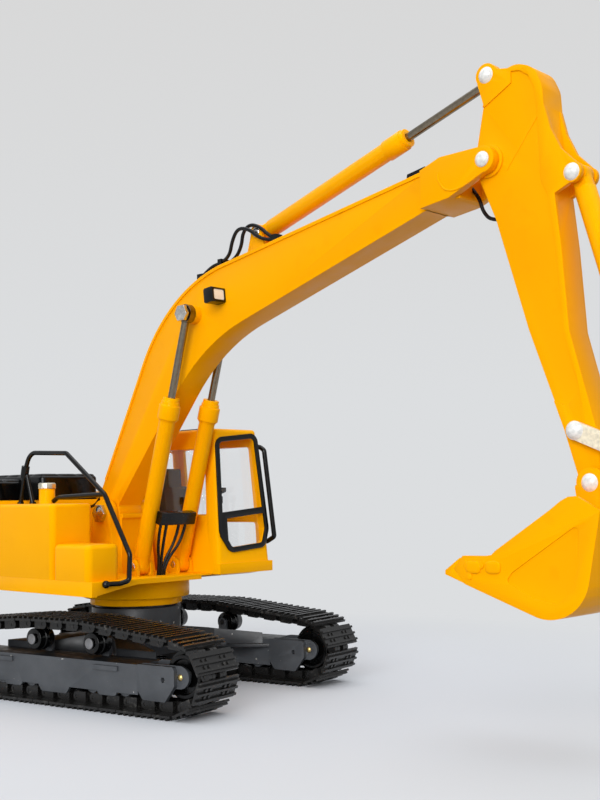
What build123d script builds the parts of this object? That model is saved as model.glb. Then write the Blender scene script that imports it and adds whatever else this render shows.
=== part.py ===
from build123d import *
from math import acos, asin, atan2, cos, degrees, hypot, pi, radians, sin, tan
import os

# A display model of a tracked excavator at about 1:50. Millimetres.
# Origin: on the slewing axis, at the ground. +X is the way the boom points, +Y the machine's
# left, +Z up. The undercarriage stands turned under the superstructure, about Z.
os.makedirs("parts", exist_ok=True)

# Fits
pin_clearance = 0.05        # radial, round a pin that something turns on
seat_clearance = 0.02       # radial, round a pin that stays put in its hole
side_gap = 0.3              # between faces of pieces that move past each other
rod_clearance = 0.05        # radial, rod in its barrel

# Undercarriage
undercarriage_heading = 9.6
track_gauge = 52.5
shoe_width = 14.6
shoe_count = 37
grouser_tip = 2.3           # from the track pins' line out to the grouser edges
shoe_face = 1.75            # from the track pins' line out to the shoe plate's outer face
shoe_thickness = 0.55
rail_half_height = 1.15
track_pin_radius = 0.5
wheel_pin_ring = 6.9        # track pins' circle round the idlers and sprockets
wheel_reach = 40.3          # idlers and sprockets, fore and aft of the slewing axis
idler_tread_radius = 5.0
guide_radius = 6.2          # idler flange and sprocket teeth, between the chain's rails
guide_thickness = 1.4
sprocket_teeth = 12
wheel_half_width = 2.5
wheel_axle_radius = 0.75
carrier_places = (-8.6, 11.3)
carrier_height = 15.0
carrier_radius = 2.6
carrier_axle_radius = 0.8
carrier_pin_ring = 3.9
frame_half_width = 4.6      # of one track frame
frame_wall = 0.9
frame_bottom = 4.5
frame_top = 11.4
frame_rear = -34.0
frame_front = 28.3
bottom_roller_height = 5.6
bottom_roller_radius = 2.0
bottom_roller_places = (-29, -18.5, -8, 2.5, 13, 23.5)
pedestal_radius = 11.8
pedestal_top = 21.3
leg_bottom = 9.3
leg_top = 14.6

# Slewing joint and deck
washer_thickness = 0.6
ring_lower_radius = 12.2
ring_step_height = 23.8
ring_upper_radius = 14.2
spigot_radius = 6.0
deck_bottom = 28.6
deck_top = 29.9
deck_half_width = 28.8
deck_front = 19.7
deck_rear = -50.0
rail_bottom = 26.3
rail_wall = 1.5

# Boom, arm and bucket pivots, as (forward, up) on the machine's middle plane
boom_foot = (-6.2, 45.9)
boom_ram_foot = (10.3, 32.1)
boom_ram_head = (29.6, 95.9)
arm_ram_foot = (50.7, 113.7)
arm_ram_head = (118.5, 134.1)
boom_tip = (118.7, 116.3)
bucket_ram_foot = (137.2, 110.4)
tipping_pivot = (136.9, 61.3)
push_pivot = (153.1, 54.4)
bucket_ear = (148.0, 45.1)
bucket_pivot = (139.7, 51.6)

boom_half_width = 3.77
boom_crest = (18.7, 104.0)  # where the boom's two upper edges would meet
boom_crest_radius = 44.0
boom_belly = (31.7, 88.0)   # where its two lower edges would meet
boom_belly_radius = 52.0
nose_half_width = 5.9
fork_half_gap = 3.95
fork_wall = 111.7
bracket_inner = 4.1
bracket_outer = 6.9
boom_pin_radius = 1.5
tip_pin_radius = 1.3
arm_half_width = 3.5

# Rams
ram_spacing = 6.74          # boom rams, each side of the middle plane
barrel_radius = 2.1
collar_radius = 2.35
collar_length = 6.0
rod_radius = 0.95
ram_pin_radius = 0.9
boom_barrel_length = 45.0
arm_barrel_length = 47.0
bucket_barrel_length = 35.0
ram_eye_half_width = 1.5
rod_eye_half_width = 0.8
rod_head_play = 0.75        # radial play of the boom rods' eyes on their pin
bucket_rod_play = 0.6       # radial play of rod and push link on the tipping pin

# Bucket and its links
bucket_half_width = 12.0
bucket_wall = 1.0
ear_inner = 3.8
ear_outer = 5.0
link_thickness = 1.2
link_radius = 1.7
tipping_pin_radius = 0.8
tooth_count = 5

# Superstructure
tank_top = 48.8
tank_front = 3.0
tank_rear = -30.0
tank_inner = -16.3
tool_box_top = 38.8
tool_box_front = 18.1
tool_box_inner = -19.0
housing_top = 49.8
hood_top = 57.0
hood_front = -20.0
hood_left = 2.5
left_housing_top = 52.0
left_housing_front = -13.8
tail_radius = 70.0
counterweight_bottom = 27.0
counterweight_top = 51.5
handrail_radius = 0.62
handrail_side = -19.5

# Cab
cab_base = 29.9
cab_top = 68.0
cab_rear = -12.0
cab_front_low = 22.7
cab_front_high = 21.2
cab_right = 9.55
cab_left_low = 28.5
cab_left_high = 25.0
cab_wall = 1.0
glass_thickness = 0.5
sill = 45.0
window_top = 62.8

# Hoses
hose_diameter = 0.8
boom_hose_diameter = 0.9


# Planes ------------------------------------------------------------------------------------

def side_plane(y):
    """The upright fore-and-aft plane at y: drawn with X across and Z up, it faces the right."""
    return Plane.XZ.offset(-y)


def front_plane(x):
    """The upright cross plane at x: drawn with Y across and Z up, it faces forward."""
    return Plane.YZ.offset(x)


heading = radians(undercarriage_heading)
chassis = Plane(origin=(0, 0, 0), x_dir=(cos(heading), sin(heading), 0), z_dir=(0, 0, 1))


def track_plane(out):
    """The right track's side plane, out millimetres outboard of its middle, facing outboard."""
    middle = chassis.from_local_coords(Vector(0, -track_gauge / 2 - out, 0))
    return Plane(origin=middle, x_dir=chassis.x_dir, z_dir=-chassis.y_dir)


chassis_middle = Plane(origin=(0, 0, 0), x_dir=chassis.x_dir, z_dir=-chassis.y_dir)


# Shapes ------------------------------------------------------------------------------------

def block(x, y, z, mode=Mode.ADD):
    """A box between three pairs of limits."""
    with Locations((x[0], y[0], z[0])):
        Box(x[1] - x[0], y[1] - y[0], z[1] - z[0], align=(Align.MIN,) * 3, mode=mode)


def slab(plane, points, thickness, round_by=0, mode=Mode.ADD):
    """A plate: an outline on the plane, its corners rounded, thickened along the normal."""
    with BuildSketch(plane) as outline:
        with BuildLine():
            Polyline(*points, close=True)
        make_face()
        if round_by:
            fillet(outline.vertices(), round_by)
    extrude(outline.sketch, amount=thickness, mode=mode)


def bar(plane, centre, radius, length, mode=Mode.ADD):
    """A round bar or hole at a point of the plane, along the normal."""
    with BuildSketch(plane) as section:
        with Locations(centre):
            Circle(radius)
    extrude(section.sketch, amount=length, mode=mode)


def cross_bar(centre, radius, half_length, mode=Mode.ADD):
    """A round bar or hole across the machine's middle plane."""
    bar(side_plane(half_length), centre, radius, 2 * half_length, mode)


def hexagon(plane, centre, radius, thickness):
    """A hexagonal nut or screw head."""
    with BuildSketch(plane) as section:
        with Locations(centre):
            RegularPolygon(radius, 6)
    extrude(section.sketch, amount=thickness)


def dome(plane, centre, radius, height):
    """A rivet head: a low cap standing on the plane."""
    sphere_radius = (radius**2 + height**2) / (2 * height)
    top = plane.from_local_coords(Vector(centre[0], centre[1], height))
    with BuildSketch(Plane(origin=top, x_dir=plane.x_dir, z_dir=-plane.y_dir)) as section:
        with BuildLine():
            edge = ThreePointArc(
                (0, 0),
                (sphere_radius * sin(asin(radius / sphere_radius) / 2),
                 -sphere_radius * (1 - cos(asin(radius / sphere_radius) / 2))),
                (radius, -height),
            )
            Polyline(edge @ 1, (0, -height), (0, 0))
        make_face()
    axis = Axis(tuple(top), tuple(plane.z_dir))
    revolve(section.sketch, axis=axis)


def strap(plane, start, end, radius, thickness, mode=Mode.ADD):
    """A flat link with round ends."""
    reach = Vector(*end) - Vector(*start)
    with BuildSketch(plane) as outline:
        with Locations(Location(tuple((Vector(*start) + Vector(*end)) / 2), degrees(atan2(reach.Y, reach.X)))):
            SlotCenterToCenter(reach.length, 2 * radius)
    extrude(outline.sketch, amount=thickness, mode=mode)


def tube_along(points, diameter, radii=None):
    """A round bar or hose along straight runs joined by tangent arcs."""
    corners = [Vector(*point) for point in points]
    if radii is None:
        radii = arc_radii(corners)
    with BuildLine() as route:
        if radii:
            FilletPolyline(*corners, radius=radii)
        else:
            Line(*corners)
    with BuildSketch(Plane(origin=corners[0], z_dir=corners[1] - corners[0])) as section:
        Circle(diameter / 2)
    sweep(section.sketch, path=route.line)


def arc_radii(corners):
    """As large an arc at each corner as its two runs allow."""
    radii = []
    for before, corner, after in zip(corners, corners[1:], corners[2:]):
        turn = radians((corner - before).get_angle(after - corner))
        shorter = min((corner - before).length, (after - corner).length)
        radii.append(0.45 * shorter / tan(turn / 2))
    return radii


def finish(name, label):
    """Names a finished piece and writes it."""
    name.part.label = label
    export_step(name.part, f"parts/{label}.step")


def finish_group(solids, label):
    """Writes copies of one piece as a single node of separate solids."""
    group = Compound(solids)
    group.label = label
    export_step(group, f"parts/{label}.step")


# Track chain -------------------------------------------------------------------------------

wheel_height = grouser_tip + wheel_pin_ring
belt_wheels = [
    (wheel_reach, wheel_height, wheel_pin_ring),
    (carrier_places[1], carrier_height, carrier_pin_ring),
    (carrier_places[0], carrier_height, carrier_pin_ring),
    (-wheel_reach, wheel_height, wheel_pin_ring),
]


def belt_runs(wheels):
    """The arcs and straight runs of a taut belt, each as its length and a place on it."""
    normals = []
    for (u1, z1, r1), (u2, z2, r2) in zip(wheels, wheels[1:] + wheels[:1]):
        normals.append(atan2(z2 - z1, u2 - u1) - acos((r1 - r2) / hypot(u2 - u1, z2 - z1)))
    runs = []
    for i, (u, z, r) in enumerate(wheels):
        first, last = normals[i - 1], normals[i]
        turn = (last - first) % (2 * pi)
        runs.append((r * turn, lambda s, u=u, z=z, r=r, a=first: (u + r * cos(a + s / r), z + r * sin(a + s / r))))
        next_u, next_z, next_r = wheels[(i + 1) % len(wheels)]
        start = (u + r * cos(last), z + r * sin(last))
        end = (next_u + next_r * cos(last), next_z + next_r * sin(last))
        length = hypot(end[0] - start[0], end[1] - start[1])
        runs.append((length, lambda s, p=start, q=end, n=length: (p[0] + (q[0] - p[0]) * s / n, p[1] + (q[1] - p[1]) * s / n)))
    return runs


def belt_point(runs, s):
    """The point a distance s along the belt."""
    s %= sum(length for length, _ in runs)
    for length, place in runs:
        if s <= length:
            return place(s)
        s -= length
    return runs[-1][1](runs[-1][0])


def next_station(runs, s, pitch):
    """The next place along the belt that is one pitch away in a straight line."""
    here = belt_point(runs, s)
    low, high = s + 0.5 * pitch, s + 1.6 * pitch
    for _ in range(40):
        middle = (low + high) / 2
        there = belt_point(runs, middle)
        if hypot(there[0] - here[0], there[1] - here[1]) < pitch:
            low = middle
        else:
            high = middle
    return (low + high) / 2


def pin_stations(runs, pitch):
    """Places of the pins along the belt, one pitch apart, starting at its first arc."""
    stations = [0.0]
    for _ in range(shoe_count):
        stations.append(next_station(runs, stations[-1], pitch))
    return stations


def closing_pitch(runs):
    """The pitch at which the whole count of links goes round exactly once."""
    whole = sum(length for length, _ in runs)
    low, high = 0.9 * whole / shoe_count, whole / shoe_count
    for _ in range(30):
        pitch = (low + high) / 2
        if pin_stations(runs, pitch)[-1] < whole:
            low = pitch
        else:
            high = pitch
    return (low + high) / 2


chain_runs = belt_runs(belt_wheels)
track_pitch = closing_pitch(chain_runs)
chain_pins = [belt_point(chain_runs, s) for s in pin_stations(chain_runs, track_pitch)]
print("track pitch", round(track_pitch, 3))

outer_rail = (2.0, 3.2)
inner_rail = (0.85, 1.9)
rail_overlap = 2.6
plate_inner = shoe_face - shoe_thickness
grouser_places = (0.12, 0.48, 0.84)
grouser_width = 0.55

with BuildPart() as track_link:
    block((0.1, track_pitch - 0.1), (-shoe_width / 2, shoe_width / 2), (plate_inner, shoe_face))
    for share in grouser_places:
        start = 0.1 + share * (track_pitch - 0.2 - grouser_width)
        block((start, start + grouser_width), (-shoe_width / 2, shoe_width / 2), (shoe_face, grouser_tip))
    for side in (-1, 1):
        for low, high, pin, end in (
            (*outer_rail, 0, track_pitch - rail_overlap),
            (*inner_rail, track_pitch, track_pitch - rail_overlap),
        ):
            inner_face = side_plane(side * (low + high) / 2 + (high - low) / 2)
            bar(inner_face, (pin, 0), rail_half_height, high - low)
            y_limits = sorted((side * low, side * high))
            block(sorted((pin, end)), y_limits, (-rail_half_height, plate_inner))
    with Locations(Location((0, shoe_width / 2, 0), (90, 0, 0)), Location((track_pitch, shoe_width / 2, 0), (90, 0, 0))):
        Cylinder(track_pin_radius + seat_clearance, shoe_width, align=(Align.CENTER, Align.CENTER, Align.MIN), mode=Mode.SUBTRACT)
    with Locations(*[(x, y, shoe_face) for x in (1.75, 3.4) for y in (-4.2, -2.6, 2.6, 4.2)]):
        Cylinder(0.42, 0.3, align=(Align.CENTER, Align.CENTER, Align.MIN))

with BuildPart() as track_pin:
    with Locations(Location((0, outer_rail[1] - 0.1, 0), (90, 0, 0))):
        Cylinder(track_pin_radius, 2 * outer_rail[1] - 0.2, align=(Align.CENTER, Align.CENTER, Align.MIN))


def chain_locations(gauge_side):
    """Where each link stands on a track: its rear pin, with X along the chain and Z outward."""
    places = []
    for (u1, z1), (u2, z2) in zip(chain_pins, chain_pins[1:]):
        start = chassis.from_local_coords(Vector(u1, gauge_side * track_gauge / 2, z1))
        end = chassis.from_local_coords(Vector(u2, gauge_side * track_gauge / 2, z2))
        along = (end - start).normalized()
        places.append(Plane(origin=start, x_dir=along, z_dir=chassis.y_dir.cross(along)).location)
    return places


for side, label in ((-1, "right"), (1, "left")):
    links = [track_link.part.moved(place) for place in chain_locations(side)]
    finish_group(links, f"track_shoes_{label}")
finish_group([track_pin.part.moved(place) for side in (-1, 1) for place in chain_locations(side)], "track_pins")


# Undercarriage -----------------------------------------------------------------------------

def track_side_plate(out, thickness, lobes):
    """One side of a track frame, with the skid lobes under its outer face."""
    corners = [(frame_rear, frame_bottom), (frame_front, frame_bottom), (frame_front, frame_top), (frame_rear, frame_top)]
    slab(track_plane(out), corners, thickness)
    if lobes:
        for low_u, high_u, depth in ((-3.5, 5.0, 2.9), (-16.0, -11.0, 3.6), (16.0, 21.0, 3.6)):
            lobe = [(low_u - 1.5, frame_bottom + 0.5), (low_u, depth), (high_u, depth), (high_u + 1.5, frame_bottom + 0.5)]
            slab(track_plane(out), lobe, thickness, 0.6)


wheel_gap = wheel_half_width + side_gap
fork_outer = frame_half_width - frame_wall
nose_outline = [(28.3, 11.6), (39.0, 11.6), (39.5, 10.8), (39.5, 7.2), (36.7, 3.5), (30.0, 3.6), (28.3, 5.9)]
nose_bolt = (36.2, 8.5)
post_out = (-3.6, -2.6)     # the carrier rollers' posts stand inboard of the rollers

with BuildPart(chassis) as track_frame_right:
    track_side_plate(frame_half_width - frame_wall, frame_wall, True)
    track_side_plate(-frame_half_width, frame_wall, False)
    slab(
        track_plane(-frame_half_width + frame_wall),
        [(frame_rear, frame_top - frame_wall), (frame_front, frame_top - frame_wall), (frame_front, frame_top), (frame_rear, frame_top)],
        2 * (frame_half_width - frame_wall),
    )
    slab(
        track_plane(-frame_half_width + frame_wall),
        [(frame_front - 1.2, 6.0), (frame_front, 6.0), (frame_front, frame_top), (frame_front - 1.2, frame_top)],
        2 * (frame_half_width - frame_wall),
    )
    for roller_place in bottom_roller_places:
        bar(track_plane(-fork_outer), (roller_place, bottom_roller_height), bottom_roller_radius, 2 * fork_outer)
    for face in (fork_outer, -fork_outer - 1.2):
        slab(track_plane(face), nose_outline, 1.2, 0.4)
        bar(track_plane(face), nose_bolt, 0.6, 1.2, Mode.SUBTRACT)
    for face in (wheel_gap, -fork_outer):
        strap(track_plane(face), (frame_front + 1.5, wheel_height), (wheel_reach, wheel_height), 2.6, fork_outer - wheel_gap)
        bar(track_plane(face), (wheel_reach, wheel_height), wheel_axle_radius + seat_clearance, fork_outer - wheel_gap, Mode.SUBTRACT)
    for place in carrier_places:
        strap(track_plane(post_out[0]), (place, frame_top + 0.8), (place, carrier_height), 1.2, post_out[1] - post_out[0])
        bar(track_plane(post_out[0]), (place, carrier_height), carrier_axle_radius + seat_clearance, post_out[1] - post_out[0], Mode.SUBTRACT)
    for low_u, high_u in ((14.3, 22.3), (-22.0, -13.5)):
        slab(track_plane(frame_half_width), [(low_u, 9.5), (high_u, 9.5), (high_u, 10.6), (low_u, 10.6)], 0.6, 0.2)
finish(track_frame_right, "track_frame_right")

with BuildPart(chassis) as track_frame_left:
    mirror(track_frame_right.part, about=chassis_middle)
finish(track_frame_left, "track_frame_left")

with BuildPart() as idler_right:
    bar(track_plane(-wheel_half_width), (wheel_reach, wheel_height), idler_tread_radius, 2 * wheel_half_width)
    bar(track_plane(-guide_thickness / 2), (wheel_reach, wheel_height), guide_radius, guide_thickness)
    bar(track_plane(wheel_half_width - 0.7), (wheel_reach, wheel_height), 4.0, 0.7, Mode.SUBTRACT)
    bar(track_plane(-wheel_half_width), (wheel_reach, wheel_height), 4.0, 0.7, Mode.SUBTRACT)
    bar(track_plane(-wheel_half_width), (wheel_reach, wheel_height), 1.9, 2 * wheel_half_width)
    bar(track_plane(-wheel_half_width), (wheel_reach, wheel_height), wheel_axle_radius + pin_clearance, 2 * wheel_half_width, Mode.SUBTRACT)
finish(idler_right, "idler_right")

with BuildPart() as idler_left:
    mirror(idler_right.part, about=chassis_middle)
finish(idler_left, "idler_left")

with BuildPart() as sprocket_right:
    bar(track_plane(-guide_thickness / 2), (-wheel_reach, wheel_height), guide_radius - 0.9, guide_thickness)
    for tooth in range(sprocket_teeth):
        turn = 2 * pi * tooth / sprocket_teeth
        root = (-wheel_reach + 4.5 * cos(turn), wheel_height + 4.5 * sin(turn))
        tip = (-wheel_reach + (guide_radius - 0.5) * cos(turn), wheel_height + (guide_radius - 0.5) * sin(turn))
        strap(track_plane(-guide_thickness / 2), root, tip, 0.5, guide_thickness)
    bar(track_plane(-wheel_half_width), (-wheel_reach, wheel_height), 4.4, 2 * wheel_half_width)
    bar(track_plane(-wheel_half_width), (-wheel_reach, wheel_height), wheel_axle_radius + pin_clearance, 2 * wheel_half_width, Mode.SUBTRACT)
finish(sprocket_right, "sprocket_right")

with BuildPart() as sprocket_left:
    mirror(sprocket_right.part, about=chassis_middle)
finish(sprocket_left, "sprocket_left")

final_drive_radius = 4.35

with BuildPart() as final_drive:
    for face in (wheel_gap, -frame_half_width - 0.1):
        thickness = frame_half_width + 0.1 - wheel_gap
        bar(track_plane(face), (-wheel_reach, wheel_height), final_drive_radius, thickness)
        arm_outline = [(-wheel_reach, 5.4), (frame_rear, 5.4), (frame_rear, 10.9), (-wheel_reach, 13.0)]
        slab(track_plane(face), arm_outline, thickness)
    bar(track_plane(-wheel_gap), (-wheel_reach, wheel_height), wheel_axle_radius, 2 * wheel_gap)
    bar(track_plane(frame_half_width + 0.1), (-wheel_reach, wheel_height), 3.3, 1.0)
    bar(track_plane(frame_half_width + 1.1), (-wheel_reach, wheel_height), 1.6, 0.5)
    with BuildSketch(track_plane(frame_half_width + 1.1)) as bolt_ring:
        with Locations((-wheel_reach, wheel_height)):
            with PolarLocations(2.5, 8):
                Circle(0.35)
    extrude(bolt_ring.sketch, amount=0.3)
with BuildPart() as final_drive_mirrored:
    mirror(final_drive.part, about=chassis_middle)
finish_group([final_drive.part.solid(), final_drive_mirrored.part.solid()], "final_drives")

with BuildPart() as idler_axle:
    bar(track_plane(-fork_outer), (wheel_reach, wheel_height), wheel_axle_radius, 2 * fork_outer)
    for face, flip in ((fork_outer, 1), (-fork_outer, -1)):
        head_plane = track_plane(face)
        if flip < 0:
            head_plane = Plane(origin=head_plane.origin, x_dir=-head_plane.x_dir, z_dir=-head_plane.z_dir)
        dome(head_plane, (flip * wheel_reach, wheel_height), wheel_axle_radius, 0.35)
with BuildPart() as idler_axle_mirrored:
    mirror(idler_axle.part, about=chassis_middle)
wheel_axles = [idler_axle.part.solid(), idler_axle_mirrored.part.solid()]

carrier_inner = post_out[1] + side_gap
carrier_outer = wheel_half_width
for place, name in zip(carrier_places, ("rear", "front")):
    with BuildPart() as carrier_roller:
        bar(track_plane(carrier_inner), (place, carrier_height), carrier_radius, carrier_outer - carrier_inner)
        bar(track_plane(-0.7), (place, carrier_height), carrier_radius + 0.35, 1.4)
        bar(track_plane(carrier_inner), (place, carrier_height), carrier_axle_radius + pin_clearance, carrier_outer - carrier_inner, Mode.SUBTRACT)
    finish(carrier_roller, f"carrier_roller_{name}_right")
    with BuildPart() as carrier_roller_left:
        mirror(carrier_roller.part, about=chassis_middle)
    finish(carrier_roller_left, f"carrier_roller_{name}_left")

for place in carrier_places:
    with BuildPart() as carrier_axle:
        bar(track_plane(post_out[0]), (place, carrier_height), carrier_axle_radius, carrier_outer + side_gap - post_out[0])
        bar(track_plane(carrier_outer + side_gap), (place, carrier_height), 1.3, 0.4)
        dome(track_plane(carrier_outer + side_gap + 0.4), (place, carrier_height), 1.3, 0.25)
    with BuildPart() as carrier_axle_mirrored:
        mirror(carrier_axle.part, about=chassis_middle)
    wheel_axles += [carrier_axle.part.solid(), carrier_axle_mirrored.part.solid()]
finish_group(wheel_axles, "wheel_axles")

frame_inner_face = track_gauge / 2 - frame_half_width
leg_outline = [(4.0, 6.0), (10.0, 6.0), (14.1, 15.6), (20.5, 18.8), (26.0, frame_inner_face), (13.0, frame_inner_face), (7.0, 16.0), (0.0, 11.0)]
foot_outline = [(17.3, 16.9), (25.8, frame_inner_face), (28.5, frame_inner_face), (20.0, 16.9)]
screw_radius = 1.6
pivot_boss_top = 15.0

with BuildPart(chassis) as carbody:
    slab(chassis.offset(leg_bottom), leg_outline, leg_top - leg_bottom)
    slab(chassis.offset(leg_bottom), foot_outline, 0.9)
    slope = Plane(
        origin=chassis.from_local_coords(Vector(12, 14, leg_top)),
        x_dir=chassis.x_dir,
        z_dir=chassis.y_dir * 0.2 + Vector(0, 0, 1),
    )
    split(bisect_by=slope, keep=Keep.BOTTOM)
    mirror(about=chassis_middle)
    mirror(about=Plane(origin=(0, 0, 0), x_dir=chassis.y_dir, z_dir=chassis.x_dir))
    block((-12, 12), (-11, 11), (leg_bottom, leg_top))
    with Locations((0, 0, leg_bottom)):
        Cylinder(pedestal_radius, pedestal_top - leg_bottom, align=(Align.CENTER, Align.CENTER, Align.MIN))
    with Locations((0, 0, pivot_boss_top)):
        Cylinder(spigot_radius + pin_clearance, 20, align=(Align.CENTER, Align.CENTER, Align.MIN), mode=Mode.SUBTRACT)
    with Locations((0, 0, 0)):
        Cylinder(screw_radius + seat_clearance, 20, align=(Align.CENTER, Align.CENTER, Align.MIN), mode=Mode.SUBTRACT)
finish(carbody, "carbody")

with BuildPart() as slewing_washer:
    with BuildSketch(Plane.XY.offset(pedestal_top)) as washer_face:
        Circle(pedestal_radius - 0.8)
        Circle(spigot_radius + 0.4, mode=Mode.SUBTRACT)
    extrude(washer_face.sketch, amount=washer_thickness)
finish(slewing_washer, "slewing_washer")

ring_bottom = pedestal_top + washer_thickness
spigot_bottom = pivot_boss_top + side_gap
screw_top = ring_bottom + 3.0

with BuildPart() as slewing_screw:
    with BuildSketch(Plane.XY.offset(leg_bottom - 1.0)) as screw_head:
        Circle(3.0)
    extrude(screw_head.sketch, amount=1.0)
    with BuildSketch(Plane.XY.offset(leg_bottom)) as screw_shank:
        Circle(screw_radius)
    extrude(screw_shank.sketch, amount=screw_top - leg_bottom)
    with BuildSketch(Plane.XY.offset(leg_bottom - 1.0)) as screw_slot:
        Rectangle(4.2, 0.7)
        Rectangle(0.7, 4.2)
    extrude(screw_slot.sketch, amount=0.5, mode=Mode.SUBTRACT)
finish(slewing_screw, "slewing_screw")


# Superstructure ----------------------------------------------------------------------------

with BuildPart() as slewing_ring:
    with BuildSketch(Plane.XY.offset(ring_bottom)) as lower_tier:
        Circle(ring_lower_radius)
    extrude(lower_tier.sketch, amount=ring_step_height - ring_bottom)
    with BuildSketch(Plane.XY.offset(ring_step_height)) as upper_tier:
        Circle(ring_upper_radius)
    extrude(upper_tier.sketch, amount=deck_bottom - ring_step_height)
    with BuildSketch(Plane.XY.offset(spigot_bottom)) as spigot:
        Circle(spigot_radius)
    extrude(spigot.sketch, amount=ring_bottom - spigot_bottom)
    with BuildSketch(Plane.XY.offset(spigot_bottom)) as screw_hole:
        Circle(screw_radius + pin_clearance)
    extrude(screw_hole.sketch, amount=screw_top + 0.5 - spigot_bottom, mode=Mode.SUBTRACT)
finish(slewing_ring, "slewing_ring")

bracket_outline = [(-13.5, deck_top), (-9.8, 46.5), (-2.75, 46.5), (-1.6, 37.5), (-0.4, deck_top)]
panel_top = 45.8
ram_lug_radius = 2.0
lug_inner = ram_spacing - ram_eye_half_width - side_gap
lug_outer = ram_spacing + ram_eye_half_width + side_gap
lug_thickness = 0.9
sweep_outline = [
    (0.0, 29.2), (6.0, 29.2), (15.0, deck_bottom), (20.0, 27.9), (25.0, 27.0),
    (deck_half_width, rail_bottom), (deck_half_width, deck_top), (0.0, deck_top),
]
cab_corner_slope = [(ring_upper_radius, deck_bottom), (deck_front, 29.5), (deck_front, 26.0), (ring_upper_radius, 26.0)]
cab_corner_start = 6.0      # how far left of the middle the deck starts to thin under the cab's front

with BuildPart() as revolving_frame:
    block((deck_rear, deck_front), (-deck_half_width, deck_half_width), (deck_bottom, deck_top))
    for side in (-1, 1):
        y_limits = sorted((side * (deck_half_width - rail_wall), side * deck_half_width))
        block((deck_rear, deck_front if side < 0 else cab_rear), y_limits, (rail_bottom, deck_bottom))
        inner_y = bracket_outer if side < 0 else -bracket_inner
        plate_face = side_plane(side * (bracket_inner + bracket_outer) / 2 + (bracket_outer - bracket_inner) / 2)
        slab(plate_face, bracket_outline, bracket_outer - bracket_inner)
        bar(plate_face, boom_foot, 3.6, bracket_outer - bracket_inner)
        for distance in (lug_inner - lug_thickness, lug_outer):
            lug_face = side_plane(side * (distance + lug_thickness / 2) + lug_thickness / 2)
            x, z = boom_ram_foot
            low_x, high_x = x - ram_lug_radius, x + ram_lug_radius
            slab(lug_face, [(low_x, deck_top), (high_x, deck_top), (high_x, z), (low_x, z)], lug_thickness)
            bar(lug_face, boom_ram_foot, ram_lug_radius, lug_thickness)
    slab(front_plane(deck_front - rail_wall), [(-y, z) for y, z in sweep_outline], rail_wall)
    slab(side_plane(deck_half_width), cab_corner_slope, deck_half_width - cab_corner_start, mode=Mode.SUBTRACT)
    cross_bar(boom_foot, boom_pin_radius + seat_clearance, bracket_outer, Mode.SUBTRACT)
    cross_bar(boom_ram_foot, ram_pin_radius + seat_clearance, lug_outer + lug_thickness, Mode.SUBTRACT)
    block((-1.9, -0.9), (-bracket_inner, bracket_inner), (deck_top, panel_top))
    block((-1.9, -0.3), (-bracket_inner, bracket_inner), (panel_top - 1.2, panel_top))
finish(revolving_frame, "revolving_frame")

nut_thickness = 1.2

with BuildPart() as boom_foot_pin:
    cross_bar(boom_foot, boom_pin_radius, bracket_outer)
    hexagon(side_plane(-bracket_outer), boom_foot, 2.6, nut_thickness)
    dome(side_plane(-bracket_outer - nut_thickness), boom_foot, 1.5, 0.4)
    hexagon(side_plane(bracket_outer + nut_thickness), boom_foot, 2.6, nut_thickness)

foot_pins = [boom_foot_pin.part.solid()]
for side in (-1, 1):
    with BuildPart() as ram_foot_pin:
        inner, outer = lug_inner - lug_thickness, lug_outer + lug_thickness
        bar(side_plane(side * (inner + outer) / 2 + (outer - inner) / 2), boom_ram_foot, ram_pin_radius, outer - inner)
        if side < 0:
            dome(side_plane(-outer), boom_ram_foot, 1.3, 0.4)
    foot_pins.append(ram_foot_pin.part.solid())
finish_group(foot_pins, "foot_pins")


def rounded_casing(x, y, z, corner, edge, wall=1.0):
    """A cover open underneath: upright corners and top edges rounded, hollow inside."""
    with BuildPart() as casing:
        block(x, y, z)
        fillet(casing.edges().filter_by(Axis.Z), corner)
        fillet(casing.faces().sort_by(Axis.Z)[-1].edges(), edge)
        block((x[0] + wall, x[1] - wall), (y[0] + wall, y[1] - wall), (z[0], z[1] - wall), Mode.SUBTRACT)
    return casing.part


neck_place = (-12.3, -20.0)
neck_radius = 2.1
neck_height = 3.9
cap_height = 1.6

with BuildPart() as fuel_tank:
    add(rounded_casing((tank_rear, tank_front), (-deck_half_width, tank_inner), (deck_top, tank_top), 1.5, 1.0))
    with BuildSketch(Plane.XY.offset(tank_top)) as neck:
        with Locations(neck_place):
            Circle(neck_radius)
    extrude(neck.sketch, amount=neck_height)
finish(fuel_tank, "fuel_tank")

with BuildPart() as filler_cap:
    with BuildSketch(Plane.XY.offset(tank_top + neck_height)) as cap_face:
        with Locations(neck_place):
            RegularPolygon(neck_radius + 0.3, 10)
    extrude(cap_face.sketch, amount=cap_height)
    chamfer(filler_cap.faces().sort_by(Axis.Z)[-1].edges(), 0.3)
finish(filler_cap, "filler_cap")

with BuildPart() as tool_box:
    add(rounded_casing(
        (tank_front + 0.1, tool_box_front), (-deck_half_width, tool_box_inner), (deck_top, tool_box_top), 1.8, 1.3,
    ))
finish(tool_box, "tool_box")

housing_front = tank_rear - side_gap

with BuildPart() as engine_housing:
    block((deck_rear, housing_front), (-deck_half_width, hood_left - side_gap), (deck_top, housing_top))
    block((housing_front, hood_front), (tank_inner + side_gap, hood_left - side_gap), (deck_top, housing_top))
    fillet(engine_housing.edges().filter_by(Axis.Z), 0.6)
    block((deck_rear + 1, housing_front - 1), (-deck_half_width + 1, hood_left - side_gap - 1), (deck_top, housing_top - 1), Mode.SUBTRACT)
    block((housing_front - 1, hood_front - 1), (tank_inner + side_gap + 1, hood_left - side_gap - 1), (deck_top, housing_top - 1), Mode.SUBTRACT)
finish(engine_housing, "engine_housing")

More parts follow.
